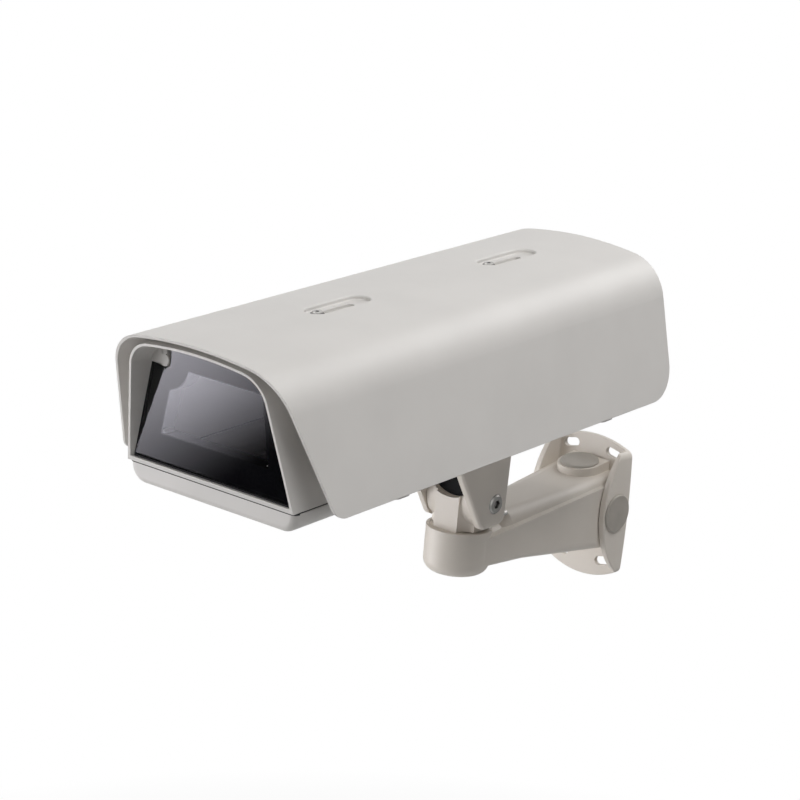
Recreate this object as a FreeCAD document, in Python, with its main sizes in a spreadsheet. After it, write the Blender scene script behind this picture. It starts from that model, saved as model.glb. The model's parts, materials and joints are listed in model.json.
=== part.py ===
import FreeCAD, Part
import math
import os
import re
import Sketcher

# Driving sizes in millimetres and degrees. Housing places are counted from the tilt axis with the
# housing level, and bracket places from the middle of the wall plate's back.
SIZES = {
    "tilt_reach": 163.0,
    "tilt_height": 33.5,
    "tilt_angle": 4.325,
    "pan_reach": 168.0,
    "shield_length": 420.0,
    "shield_nose": 292.5,
    "shield_rise": 176.7,
    "shield_depth": 102.8,
    "shield_top_width": 143.8,
    "shield_base_width": 195.4,
    "shield_crown": 321.0,
    "shield_shoulder": 36.5,
    "shield_wall": 2.0,
    "shield_front_rake": 35.9,
    "shield_rear_rake": 8.9,
    "shield_front_corner": 12.0,
    "shield_rear_corner": 26.0,
    "dish_length": 59.0,
    "dish_width": 17.0,
    "dish_depth": 3.4,
    "dish_lead": 9.0,
    "dish_edge_round": 1.2,
    "dish_rim_round": 1.4,
    "slide_travel": 34.0,
    "slot_width": 5.6,
    "front_screw_place": 121.0,
    "screw_spacing": 186.0,
    "screw_radius": 2.0,
    "screw_head_radius": 3.9,
    "screw_head_height": 1.9,
    "screw_length": 8.0,
    "screw_key": 1.3,
    "washer_radius": 4.4,
    "washer_thickness": 0.6,
    "thread_gap": 0.05,
    "cover_gap": 3.9,
    "cover_length": 389.0,
    "cover_setback": 2.9,
    "cover_height": 94.0,
    "cover_top_width": 116.6,
    "cover_base_width": 151.2,
    "cover_crown": 307.7,
    "cover_shoulder": 22.5,
    "cover_wall": 3.5,
    "cover_front_rake": 15.3,
    "cover_rear_round": 7.0,
    "screw_boss_radius": 5.5,
    "screw_boss_depth": 8.5,
    "hood_rim": 1.8,
    "hood_wall": 4.0,
    "sill_height": 3.2,
    "window_setback": 19.4,
    "window_rake": 3.43,
    "glass_thickness": 4.0,
    "glass_bevel": 1.4,
    "gasket_web": 1.3,
    "gasket_lip": 1.0,
    "gasket_lip_width": 5.0,
    "aperture_top_width": 80.0,
    "aperture_base_width": 98.0,
    "aperture_floor": 23.5,
    "aperture_height": 47.5,
    "aperture_round": 5.0,
    "bulkhead_wall": 5.0,
    "sensor_across": 46.5,
    "sensor_height": 75.0,
    "sensor_radius": 4.3,
    "sensor_length": 14.0,
    "sensor_ramp_depth": 7.0,
    "sensor_ramp_height": 9.0,
    "sensor_edge_round": 2.4,
    "sensor_collar": 20.0,
    "sensor_notch_gap": 1.3,
    "seam_gap": 1.0,
    "seal_inset": 0.6,
    "seal_width": 2.4,
    "tray_setback": 20.0,
    "tray_depth": 14.6,
    "tray_wall": 3.5,
    "tray_round": 12.6,
    "tray_corner": 5.0,
    "hinge_offset": 6.0,
    "hinge_radius": 5.0,
    "hinge_pin_radius": 2.5,
    "running_gap": 0.05,
    "hinge_pin_head": 4.0,
    "hinge_pin_head_height": 1.5,
    "hinge_tray_width": 16.0,
    "hinge_cover_width": 10.0,
    "hinge_side_gap": 0.4,
    "hinge_front_place": -180.0,
    "hinge_rear_place": 50.0,
    "lug_width": 16.0,
    "lug_reach": 13.0,
    "lug_height": 8.0,
    "lug_front_place": -180.0,
    "lug_rear_place": 50.0,
    "lug_round": 4.0,
    "bolt_across": 6.5,
    "bolt_radius": 2.5,
    "bolt_head_radius": 4.3,
    "bolt_head_height": 4.0,
    "bolt_entry": 6.5,
    "bolt_entry_gap": 0.4,
    "yoke_gap": 44.0,
    "yoke_ear": 6.0,
    "yoke_base": 5.0,
    "yoke_base_width": 78.0,
    "yoke_base_front": 66.0,
    "yoke_base_rear": 36.0,
    "yoke_base_round": 12.0,
    "ear_front_top": 56.0,
    "ear_front_bend": 40.4,
    "ear_bend_height": 30.8,
    "ear_front_foot": 14.8,
    "ear_rear_top": 20.5,
    "ear_rear_foot": 12.0,
    "ear_foot": 17.8,
    "ear_foot_round": 7.5,
    "ear_bend_round": 24.0,
    "ear_edge_round": 2.5,
    "yoke_screw_across": 30.0,
    "yoke_screw_front": 54.0,
    "yoke_screw_rear": 26.0,
    "yoke_screw_radius": 2.5,
    "yoke_screw_head": 4.4,
    "yoke_screw_head_height": 2.8,
    "tilt_bolt_radius": 4.0,
    "tilt_head_radius": 7.4,
    "tilt_head_height": 3.2,
    "tilt_head_proud": 1.2,
    "tilt_key": 3.0,
    "tilt_bolt_end": 13.0,
    "lock_radius": 2.0,
    "lock_across": 25.0,
    "lock_drop": 11.5,
    "lock_length": 13.0,
    "lock_proud": 4.5,
    "knuckle_boss_radius": 20.5,
    "knuckle_boss_gap": 0.2,
    "knuckle_width": 22.0,
    "knuckle_length": 34.4,
    "knuckle_edge_round": 1.5,
    "wing_width": 40.0,
    "wing_front": 8.0,
    "wing_rear": 13.0,
    "wing_round": 4.0,
    "wing_gap": 0.6,
    "scoop_radius": 11.0,
    "saddle_radius": 28.0,
    "saddle_height": 2.8,
    "spigot_radius": 17.0,
    "spigot_depth": 20.0,
    "flange_radius": 21.8,
    "flange_height": 2.8,
    "cable_bore": 8.0,
    "ring_groove": 1.5,
    "ring_thickness": 1.5,
    "ring_radius": 19.0,
    "boot_radius": 54.5,
    "boot_gap": 0.4,
    "boot_seat_gap": 0.1,
    "boot_front": 15.0,
    "boot_rear": 12.0,
    "cup_radius": 24.8,
    "cup_top": 11.0,
    "cup_foot": 24.0,
    "cup_round": 9.0,
    "cup_wall": 3.5,
    "cup_shelf": 12.0,
    "cup_opening": 20.5,
    "recess_depth": 3.2,
    "recess_gap": 0.4,
    "neck_width": 43.0,
    "neck_top": 10.5,
    "neck_round": 8.0,
    "neck_reach": 139.5,
    "cup_plug_radius": 15.0,
    "plate_width": 70.8,
    "plate_side_arc": 800.0,
    "plate_thickness": 3.8,
    "plate_top": 55.2,
    "plate_top_arc": 84.0,
    "plate_foot": 59.5,
    "plate_foot_arc": 66.0,
    "plate_corner": 6.0,
    "plate_edge_round": 0.8,
    "cheek_thickness": 4.2,
    "cheek_depth": 31.5,
    "cheek_edge": 6.5,
    "cheek_middle": 3.0,
    "cheek_rise": 52.0,
    "cheek_edge_round": 1.2,
    "cheek_root_round": 1.5,
    "hole_across": 20.2,
    "hole_up": 44.3,
    "hole_width": 7.0,
    "hole_length": 14.5,
    "hole_turn": 13.0,
    "arm_root_width": 64.0,
    "arm_tip_width": 49.0,
    "arm_root_foot": 32.0,
    "arm_tip_foot": 16.5,
    "arm_root_top": 26.6,
    "arm_tip_top": 5.0,
    "arm_root_round": 10.0,
    "arm_tip_round": 3.0,
    "knee_reach": 118.0,
    "knee_width": 53.5,
    "knee_foot": 18.6,
    "knee_top": 11.4,
    "knee_round": 5.0,
    "barrel_root_width": 59.0,
    "barrel_root_top": 30.5,
    "barrel_root_round": 9.0,
    "barrel_tip_width": 43.0,
    "barrel_tip_top": 19.5,
    "barrel_tip_round": 12.0,
    "barrel_reach": 130.0,
    "arm_wall": 4.0,
    "hollow_reach": 150.0,
    "hollow_foot": 12.0,
    "plug_radius": 15.2,
    "plug_cap": 2.0,
    "plug_stem": 6.0,
    "plug_stem_radius": 12.5,
    "plug_wall": 2.0,
    "plug_gap": 0.1,
    "top_plug_reach": 19.9,
    "top_plug_height": 35.7,
    "top_plug_slope": 8.0,
    "top_boss_radius": 17.4,
    "top_boss_depth": 13.0,
    "side_plug_reach": 15.7,
    "side_plug_rise": 1.7,
    "plug_seat": 0.3,
    "gland_spacing": 38.0,
    "gland_place": 105.0,
    "gland_bore": 4.0,
    "gland_thread": 8.0,
    "gland_hex": 12.0,
    "gland_collar": 5.0,
    "gland_neck": 7.0,
    "gland_cap_radius": 10.4,
    "gland_cap": 12.0,
    "gland_cap_round": 3.0,
    "locknut_hex": 11.0,
    "locknut_height": 4.0,
    "camera_slot_length": 90.0,
    "board_screw_radius": 1.2,
    "board_screw_head": 2.6,
    "board_screw_head_height": 1.6,
    "fan_foot": 10.0,
    "fan_foot_height": 3.0,
    "fan_corner": 3.0,
    "fan_gap": 0.6,
    "fan_spokes": 2.4,
    "fan_shaft": 2.0,
    "blade_thickness": 1.2,
    "sled_width": 62.0,
    "sled_round": 4.0,
    "sled_length": 205.0,
    "sled_front": 230.0,
    "sled_thickness": 2.5,
    "sled_lift": 8.5,
    "sled_travel": 12.0,
    "sled_slot_length": 32.0,
    "sled_slot_width": 6.6,
    "sled_hole_pitch": 22.0,
    "rail_width": 10.0,
    "rail_across": 19.0,
    "thumb_place": 200.0,
    "thumb_spacing": 140.0,
    "thumb_radius": 6.5,
    "thumb_height": 6.0,
    "thumb_stem": 2.5,
    "thumb_gap": 0.3,
    "board_width": 110.0,
    "board_length": 50.0,
    "board_thickness": 1.6,
    "board_front": 4.0,
    "board_lift": 9.0,
    "board_corner": 4.0,
    "post_radius": 3.2,
    "post_hole": 1.3,
    "block_length": 26.0,
    "block_width": 11.0,
    "block_height": 12.0,
    "block_well": 1.8,
    "fan_size": 40.0,
    "fan_depth": 10.0,
    "fan_place": 68.0,
    "fan_bore": 18.6,
    "fan_blade": 18.0,
    "fan_hub": 9.0,
    "fan_blades": 7.0,
    "heater_width": 50.0,
    "heater_depth": 14.0,
    "heater_height": 12.0,
    "heater_place": 262.0,
    "heater_fin": 1.6,
    "heater_pitch": 5.0,
    "heater_base": 3.0,
}

doc = FreeCAD.newDocument("camera_housing")
sheet = doc.addObject("Spreadsheet::Sheet", "Sheet")
for row, (alias, number) in enumerate(SIZES.items(), 1):
    sheet.set(f"A{row}", alias)
    sheet.set(f"B{row}", str(number))
    sheet.setAlias(f"B{row}", alias)
doc.recompute()

V = FreeCAD.Vector
TOP, FRONT, SIDE = "XY_Plane", "XZ_Plane", "YZ_Plane"

# Heights and places worked out from the driving sizes, as expressions for the sheet.
SHIELD_FOOT = "(shield_rise-shield_depth)"
DISH_FLOOR = "(shield_rise-dish_depth)"
DISH_FOOT = "(shield_rise-dish_depth-shield_wall)"
COVER_TOP = "(shield_rise-shield_wall-cover_gap)"
SEAM = f"({COVER_TOP}-cover_height)"
COVER_FRONT = "(cover_setback-shield_nose)"
COVER_REAR = f"({COVER_FRONT}+cover_length)"
TRAY_TOP = f"({SEAM}-seam_gap)"
TRAY_FOOT = f"({TRAY_TOP}-tray_depth)"
TRAY_FLOOR = f"({TRAY_FOOT}+tray_wall)"
TRAY_FRONT = "(tray_setback-shield_nose)"
SIDE_FACE = "(cover_base_width/2)"
HINGE_X = f"(-{SIDE_FACE}-hinge_offset)"
WINDOW_FRONT = "(window_setback-shield_nose)"
WINDOW_TOP = "(cover_height/cos(window_rake))"
WINDOW_DEPTH = "(glass_thickness+gasket_lip)"
CHAMBER_FRONT = f"({WINDOW_FRONT}+cover_height*tan(window_rake)+{WINDOW_DEPTH}+bulkhead_wall)"
YOKE_TOP = TRAY_FOOT
YOKE_FOOT = f"({TRAY_FOOT}-yoke_base)"
EAR_INSIDE = "(yoke_gap/2)"
EAR_OUTSIDE = "(yoke_gap/2+yoke_ear)"
CUP_FLOOR = "(cup_top-recess_depth)"
SHELF_FOOT = f"({CUP_FLOOR}-cup_shelf)"
FRONT_SCREW = "(front_screw_place-shield_nose)"
SLED_FLOOR = f"({TRAY_FLOOR}+sled_lift)"
BOARD_FOOT = f"({TRAY_FLOOR}+board_lift)"

nodes = []


def bound(expression):
    """The expression with the sheet's name before each of its words."""
    return re.sub(r"\b[a-z]+(?:_[a-z]+)+\b", lambda word: "Sheet." + word.group(), str(expression))


def value(expression):
    """The number that an expression comes to."""
    return float(sheet.evalExpression(bound(expression)))


def tie(item, path, expression):
    """Binds one property of an object to the sheet."""
    item.setExpression(path, bound(expression))


def new_body(name):
    """An empty body that is a node of its own, named as its file."""
    body = doc.addObject("PartDesign::Body", name)
    body.Label = name
    nodes.append(body)
    return body


def settle(feature, before=None):
    """Works the model out, and stops if a feature failed or changed nothing."""
    doc.recompute()
    if "Invalid" in feature.State or "Error" in feature.State:
        raise RuntimeError(f"{feature.getParent().Label} {feature.Name}: {feature.State}")
    if before is not None and abs(feature.Shape.Volume - before) < 1e-3:
        raise RuntimeError(f"{feature.getParent().Label} {feature.Name} changed nothing")
    return feature


def sketch(body, plane, at=0, across=0, lift=0, turn=0):
    """A sketch on one of the body's planes, moved along its normal, aside and up, then turned."""
    drawing = body.newObject("Sketcher::SketchObject", "Outline")
    drawing.AttachmentSupport = ([f for f in body.Origin.OriginFeatures if f.Role == plane][0], "")
    drawing.MapMode = "FlatFace"
    depth = f"-({at})" if plane == FRONT else str(at)
    turned = FreeCAD.Rotation(V(1, 0, 0), value(turn))
    drawing.AttachmentOffset = FreeCAD.Placement(V(value(across), value(lift), value(depth)), turned)
    for path, size in (("Base.x", across), ("Base.y", lift), ("Base.z", depth), ("Rotation.Angle", turn)):
        if size != 0:
            tie(drawing, "AttachmentOffset." + path, size)
    return drawing


def measure(drawing, kind, place, size):
    """Adds one dimension to a sketch and ties it to the sheet."""
    index = drawing.addConstraint(Sketcher.Constraint(kind, *place, value(size)))
    drawing.renameConstraint(index, f"size_{kind.lower()}_{index}")
    tie(drawing, f"Constraints.size_{kind.lower()}_{index}", size)


def pin(drawing, geometry, end, x, y):
    """Holds one point of a sketch at its place."""
    for kind, axis, size in (("DistanceX", -2, x), ("DistanceY", -1, y)):
        if size == 0:
            drawing.addConstraint(Sketcher.Constraint("PointOnObject", geometry, end, axis))
        else:
            measure(drawing, kind, (-1, 1, geometry, end), size)


def circle(drawing, x, y, radius):
    """A circle held at its centre."""
    ring = Part.Circle(V(value(x), value(y), 0), V(0, 0, 1), value(radius))
    index = drawing.addGeometry(ring, False)
    pin(drawing, index, 3, x, y)
    measure(drawing, "Radius", (index,), radius)


def rounded(before, corner, after, radius):
    """The two ends and the middle of the round that joins the two sides of a corner."""
    inward = (before - corner).normalize()
    outward = (after - corner).normalize()
    half = inward.getAngle(outward) / 2
    reach = radius / math.tan(half)
    middle = (inward + outward).normalize() * (radius / math.sin(half))
    return corner + inward * reach, corner + outward * reach, corner + middle


def arc_between(start, end, middle, turns_left):
    """An arc that a sketch can hold, and which of its ends is the start."""
    first, last = (start, end) if turns_left else (end, start)
    ring = Part.Circle(middle, V(0, 0, 1), (start - middle).Length)
    angles = [math.atan2(spot.y - middle.y, spot.x - middle.x) for spot in (first, last)]
    if angles[1] < angles[0]:
        angles[1] += 2 * math.pi
    return Part.ArcOfCircle(ring, *angles), (1, 2) if turns_left else (2, 1)


def outline(drawing, points):
    """A closed outline. A point is (x, y), (x, y, round) or (x, y, "arc", radius, turns_left), where
    the arc runs from that point to the next."""
    spots = [V(value(point[0]), value(point[1]), 0) for point in points]
    count = len(points)
    arrive, leave, rounds = list(spots), list(spots), {}
    for i, point in enumerate(points):
        if len(point) == 3:
            before, after = spots[i - 1], spots[(i + 1) % count]
            arrive[i], leave[i], middle = rounded(before, spots[i], after, value(point[2]))
            turns_left = (spots[i] - before).cross(after - spots[i]).z > 0
            rounds[i] = arc_between(arrive[i], leave[i], middle, turns_left)
    sides = []
    for i, point in enumerate(points):
        start, end = leave[i], arrive[(i + 1) % count]
        if len(point) == 5:
            radius = value(point[3])
            along = (end - start).normalize()
            left = V(-along.y, along.x, 0) * (1 if point[4] else -1)
            rise = math.sqrt(radius ** 2 - ((end - start).Length / 2) ** 2)
            curve, ends = arc_between(start, end, (start + end) * 0.5 + left * rise, point[4])
            index = drawing.addGeometry(curve, False)
            measure(drawing, "Radius", (index,), point[3])
        else:
            index, ends = drawing.addGeometry(Part.LineSegment(start, end), False), (1, 2)
        sides.append((index, ends))
    for i, point in enumerate(points):
        (side, side_ends), (following, next_ends) = sides[i - 1], sides[i]
        if i not in rounds:
            drawing.addConstraint(Sketcher.Constraint("Coincident", side, side_ends[1], following, next_ends[0]))
            pin(drawing, following, next_ends[0], point[0], point[1])
            continue
        curve, ends = rounds[i]
        index = drawing.addGeometry(curve, False)
        drawing.addConstraint(Sketcher.Constraint("Tangent", side, side_ends[1], index, ends[0]))
        drawing.addConstraint(Sketcher.Constraint("Tangent", index, ends[1], following, next_ends[0]))
        measure(drawing, "Radius", (index,), point[2])
        corner = drawing.addGeometry(Part.Point(spots[i]), True)
        pin(drawing, corner, 1, point[0], point[1])
        drawing.addConstraint(Sketcher.Constraint("PointOnObject", corner, 1, side))
        drawing.addConstraint(Sketcher.Constraint("PointOnObject", corner, 1, following))


def rectangle(drawing, left, right, low, high, corner=None):
    """An upright rectangle, with round corners if a radius is given."""
    places = ((left, low), (right, low), (right, high), (left, high))
    outline(drawing, [place if corner is None else place + (corner,) for place in places])


def slot(drawing, x, y, length, width, turn=0):
    """A slot with round ends about its middle, turned by an angle from the sketch's first axis."""
    ends = []
    for along, aside in ((1, -1), (1, 1), (-1, 1), (-1, -1)):
        reach = f"({along}*(({length})-({width}))/2)"
        side = f"({aside}*({width})/2)"
        ends.append((f"({x})+{reach}*cos({turn})-{side}*sin({turn})",
                     f"({y})+{reach}*sin({turn})+{side}*cos({turn})"))
    indices = []
    radius = value(width) / 2
    for first in (0, 2):
        start, end = (V(value(ends[k][0]), value(ends[k][1]), 0) for k in (first, first + 1))
        curve, _ = arc_between(start, end, (start + end) * 0.5, True)
        indices.append(drawing.addGeometry(curve, False))
    for first, (this, other) in ((1, (0, 1)), (3, (1, 0))):
        start, end = (V(value(ends[k % 4][0]), value(ends[k % 4][1]), 0) for k in (first, first + 1))
        line = drawing.addGeometry(Part.LineSegment(start, end), False)
        drawing.addConstraint(Sketcher.Constraint("Tangent", indices[this], 2, line, 1))
        drawing.addConstraint(Sketcher.Constraint("Tangent", line, 2, indices[other], 1))
    for index, side in ((indices[0], 1), (indices[1], -1)):
        reach = f"({side}*(({length})-({width}))/2)"
        pin(drawing, index, 3, f"({x})+{reach}*cos({turn})", f"({y})+{reach}*sin({turn})")
        measure(drawing, "Radius", (index,), f"({width})/2")


def half_width(top_width, base_width, height, depth, inset):
    """How far the side of an arch stands from its middle, so far under its top."""
    slope = f"((({base_width})-({top_width}))/2/({height}))"
    return f"(({top_width})/2+{slope}*({depth})-({inset})*sqrt(1+{slope}^2))"


def arch(drawing, top, foot, widths, crown, shoulder, inset=0, height=None):
    """An arch with leaning sides, round shoulders and a flat crown, all drawn in by an inset. The
    widths are those of the whole arch, which is as high as its height, at its top and its base."""
    full = height or f"({top})-({foot})"
    low_x = half_width(*widths, full, f"({top})-({foot})", inset)
    high_x = half_width(*widths, full, inset, inset)
    crest = value(f"({top})-({inset})")
    crown_size, shoulder_size = f"({crown})-({inset})", f"({shoulder})-({inset})"
    big, small = value(crown_size), value(shoulder_size)
    low, high = V(value(low_x), value(foot), 0), V(value(high_x), crest, 0)
    along = (high - low).normalize()
    inward = V(-along.y, along.x, 0)
    hub = V(0, crest - big, 0)
    base = high + inward * small - hub
    lean = base.dot(along)
    centre = hub + base + along * (-lean - math.sqrt(lean ** 2 - base.Length ** 2 + (big - small) ** 2))
    upper = hub + base + along * (-lean + math.sqrt(lean ** 2 - base.Length ** 2 + (big - small) ** 2))
    centre = upper if upper.y > centre.y else centre
    side_end = centre - inward * small
    crown_end = hub + (centre - hub).normalize() * big

    def other(spot):
        return V(-spot.x, spot.y, 0)

    pieces = (
        Part.LineSegment(low, side_end),
        arc_between(side_end, crown_end, centre, True)[0],
        arc_between(crown_end, other(crown_end), hub, True)[0],
        arc_between(other(crown_end), other(side_end), other(centre), True)[0],
        Part.LineSegment(other(side_end), other(low)),
        Part.LineSegment(other(low), low),
    )
    right, bend, roof, far_bend, left, floor = [drawing.addGeometry(piece, False) for piece in pieces]
    for first, second in ((right, bend), (bend, roof), (roof, far_bend), (far_bend, left)):
        drawing.addConstraint(Sketcher.Constraint("Tangent", first, 2, second, 1))
    drawing.addConstraint(Sketcher.Constraint("Coincident", left, 2, floor, 1))
    drawing.addConstraint(Sketcher.Constraint("Coincident", floor, 2, right, 1))
    pin(drawing, right, 1, low_x, foot)
    guide = drawing.addGeometry(Part.Point(high), True)
    pin(drawing, guide, 1, high_x, f"({top})-({inset})")
    drawing.addConstraint(Sketcher.Constraint("PointOnObject", guide, 1, right))
    pin(drawing, roof, 3, 0, f"({top})-({crown})")
    measure(drawing, "Radius", (roof,), crown_size)
    measure(drawing, "Radius", (bend,), shoulder_size)
    drawing.addConstraint(Sketcher.Constraint("Symmetric", right, 1, left, 2, -2))
    drawing.addConstraint(Sketcher.Constraint("Symmetric", right, 2, left, 1, -2))


def extrude(body, drawing, length, cut=False, back=False, both=False, draft=None):
    """A pad or a pocket. A cut with no length goes through all."""
    before = body.Shape.Volume if body.Tip else None
    feature = body.newObject("PartDesign::Pocket" if cut else "PartDesign::Pad", "Step")
    feature.Profile = drawing
    feature.Reversed = back
    feature.Midplane = both
    if length is None:
        feature.Type = 1
    else:
        tie(feature, "Length", length)
    if draft is not None:
        tie(feature, "TaperAngle", draft)
    return settle(feature, before)


def pad(body, drawing, length, back=False, both=False, draft=None):
    """Adds a drawing's form in one direction, or in both about its plane."""
    return extrude(body, drawing, length, False, back, both, draft)


def cut(body, drawing, length=None, back=False, both=False, draft=None):
    """Takes a drawing's form away, through all if no length is given."""
    return extrude(body, drawing, length, True, back, both, draft)


def spin(body, drawing, cutting=False, axis="V_Axis"):
    """A turned form about the sketch's upright axis."""
    before = body.Shape.Volume if body.Tip else None
    feature = body.newObject("PartDesign::Groove" if cutting else "PartDesign::Revolution", "Turn")
    feature.Profile = drawing
    feature.ReferenceAxis = (drawing, [axis])
    feature.Angle = 360
    return settle(feature, before)


def loft(body, first, second, cutting=False):
    """A straight loft from one sketch to another."""
    before = body.Shape.Volume if body.Tip else None
    feature = body.newObject("PartDesign::SubtractiveLoft" if cutting else "PartDesign::AdditiveLoft", "Loft")
    feature.Profile = first
    feature.Sections = [second]
    feature.Ruled = True
    return settle(feature, before)


def edges_where(body, test):
    """The names of the edges whose middle and shape pass a test."""
    found = []
    for index, edge in enumerate(body.Tip.Shape.Edges, 1):
        middle = edge.valueAt((edge.FirstParameter + edge.LastParameter) / 2)
        if test(edge, middle):
            found.append(f"Edge{index}")
    return found


def ease(body, size, test, kind="Fillet"):
    """Rounds or chamfers the edges that pass a test."""
    names = edges_where(body, test)
    if not names:
        raise RuntimeError(f"{body.Label} has no edge to round")
    base = body.Tip
    feature = body.newObject("PartDesign::" + kind, "Ease")
    feature.Base = (base, names)
    tie(feature, "Radius" if kind == "Fillet" else "Size", size)
    return settle(feature, base.Shape.Volume)


def span(edge, axis):
    """How far an edge reaches along one axis."""
    box = edge.BoundBox
    return {"x": box.XLength, "y": box.YLength, "z": box.ZLength}[axis]


def along(edge, axis):
    """Whether an edge runs straight along one axis."""
    return all(span(edge, other) < 0.01 for other in "xyz" if other != axis)


def near(first, second, margin=0.3):
    """Whether two lengths agree within a margin."""
    return abs(first - second) < margin


def copies(name, master, places):
    """A node of separate solids: copies of one piece, each moved to its place and turned."""
    links = []
    for x, y, z, turned in places:
        link = doc.addObject("App::Link", "Copy")
        link.LinkedObject = master
        link.Placement = FreeCAD.Placement(V(value(x), value(y), value(z)), turned)
        for path, size in (("x", x), ("y", y), ("z", z)):
            if size != 0:
                tie(link, "Placement.Base." + path, size)
        links.append(link)
    node = doc.addObject("Part::Compound", name)
    node.Label = name
    node.Links = links
    nodes.append(node)
    return node


def pattern_body(name):
    """A body that is only the pattern for copies."""
    body = doc.addObject("PartDesign::Body", name)
    body.Label = name
    return body


def place(node, x=0, y=0, z=0, turned=None):
    """Moves a node to its place in the bracket's frame."""
    node.Placement = FreeCAD.Placement(V(value(x), value(y), value(z)), turned or FreeCAD.Rotation())
    for path, size in (("x", x), ("y", y), ("z", z)):
        if size != 0:
            tie(node, "Placement.Base." + path, size)


def tilted(node):
    """Moves a housing piece from the tilt axis's frame to its place, tipped to look down."""
    place(node, 0, "-tilt_reach", "tilt_height", FreeCAD.Rotation(V(1, 0, 0), value("tilt_angle")))
    tie(node, "Placement.Rotation.Angle", "tilt_angle")


UPRIGHT = FreeCAD.Rotation()

# The sunshield: one bent and pressed sheet.
SHIELD_ARCH = (("shield_top_width", "shield_base_width"), "shield_crown", "shield_shoulder")
COVER_ARCH = (("cover_top_width", "cover_base_width"), "cover_crown", "cover_shoulder")
SCREW_PLACES = (FRONT_SCREW, f"({FRONT_SCREW}+screw_spacing)")


def rake(body, end, top, foot, setback, height, facing, corner=None):
    """Cuts one end of a body along a line that leans, from the top's end to a setback at the foot,
    with a round lower corner if a radius is given. Facing is 1 at the front and -1 at the rear."""
    beyond = f"({end}-({facing})*10)"
    slope = f"(({facing})*({setback})/({height}))"
    drawing = sketch(body, SIDE)
    if corner is None:
        lower = [(f"({end}+{slope}*(({height})+10))", f"({foot}-10)")]
    else:
        inner = f"({end}+({facing})*(({setback})+({corner})*2))"
        lower = [
            (inner, f"({foot}-10)"),
            (inner, foot),
            (f"({end}+({facing})*({setback}))", foot, corner),
        ]
    corners = [(beyond, f"({foot}-10)"), *lower, (f"({end}-{slope}*10)", f"({top}+10)"),
               (beyond, f"({top}+10)")]
    outline(drawing, corners if facing > 0 else corners[::-1])
    cut(body, drawing, both=True)


def sunshield():
    """The bent sheet over the cover, with two pressed dishes and a slot in each."""
    body = new_body("sunshield")
    shell = sketch(body, FRONT, "-shield_nose")
    arch(shell, "shield_rise", SHIELD_FOOT, *SHIELD_ARCH)
    pad(body, shell, "shield_length", back=True)
    inside = sketch(body, FRONT, "-shield_nose")
    arch(inside, "shield_rise", f"({SHIELD_FOOT}-10)", *SHIELD_ARCH, "shield_wall", "shield_depth")
    cut(body, inside)
    rake(body, "-shield_nose", "shield_rise", SHIELD_FOOT, "shield_front_rake", "shield_depth", 1,
         "shield_front_corner")
    rake(body, "(shield_length-shield_nose)", "shield_rise", SHIELD_FOOT, "shield_rear_rake",
         "shield_depth", -1, "shield_rear_corner")
    for screw in SCREW_PLACES:
        middle = f"({screw}-dish_lead+dish_length/2)"
        pan = sketch(body, TOP, DISH_FOOT)
        slot(pan, 0, middle, "dish_length+shield_wall*2", "dish_width+shield_wall*2", 90)
        pad(body, pan, "dish_depth+shield_wall/2")
        dish = sketch(body, TOP, "shield_rise+shield_wall")
        slot(dish, 0, middle, "dish_length", "dish_width", 90)
        cut(body, dish, "dish_depth+shield_wall")
        way = sketch(body, TOP, "shield_rise+shield_wall")
        slot(way, 0, f"({screw}+slide_travel/2)", "slide_travel+slot_width", "slot_width", 90)
        cut(body, way, "dish_depth+shield_wall*3")
    floor = value(DISH_FLOOR)
    ease(body, "dish_edge_round", lambda edge, middle:
         near(middle.z, floor, 0.01) and near(edge.BoundBox.ZLength, 0, 0.01) and
         abs(middle.x) > value("slot_width") and span(edge, "y") > 20)
    side, crest = value("dish_width/2"), value("shield_rise")
    ease(body, "dish_rim_round", lambda edge, middle:
         abs(middle.x) < side + 0.1 and middle.z > crest - 1 and span(edge, "y") > 4 and
         span(edge, "z") < 1)
    tilted(body)


def cover():
    """The cast upper half: shell, hood, window seat, screw bosses and side lugs."""
    body = new_body("cover")
    shell = sketch(body, FRONT, COVER_FRONT)
    arch(shell, COVER_TOP, SEAM, *COVER_ARCH)
    pad(body, shell, "cover_length", back=True)
    rake(body, COVER_FRONT, COVER_TOP, SEAM, "cover_front_rake", "cover_height", 1)
    chamber = sketch(body, FRONT, CHAMBER_FRONT)
    arch(chamber, COVER_TOP, f"({SEAM}-10)", *COVER_ARCH, "cover_wall", "cover_height")
    cut(body, chamber, f"{COVER_REAR}-cover_wall-{CHAMBER_FRONT}")
    hood_mouth(body)
    window_seat(body)
    aperture(body)
    sensor_boss(body)
    for screw in SCREW_PLACES:
        seat = sketch(body, TOP, f"({COVER_TOP}-cover_wall/2)")
        slot(seat, 0, f"({screw}+slide_travel/2)", "dish_length-dish_lead", "dish_width-2", 90)
        pad(body, seat, f"{DISH_FOOT}-{COVER_TOP}+cover_wall/2")
        boss = sketch(body, TOP, f"({COVER_TOP}-cover_wall/2)")
        circle(boss, 0, screw, "screw_boss_radius")
        pad(body, boss, "screw_boss_depth", back=True)
        hole = sketch(body, TOP, DISH_FOOT)
        circle(hole, 0, screw, "screw_radius+thread_gap")
        cut(body, hole, "screw_length")
    rear = value(COVER_REAR)
    ease(body, "cover_rear_round", lambda edge, middle:
         near(middle.y, rear, 0.01) and span(edge, "y") < 0.01 and middle.z > value(SEAM) + 1)
    cover_lugs(body)
    tilted(body)


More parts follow.
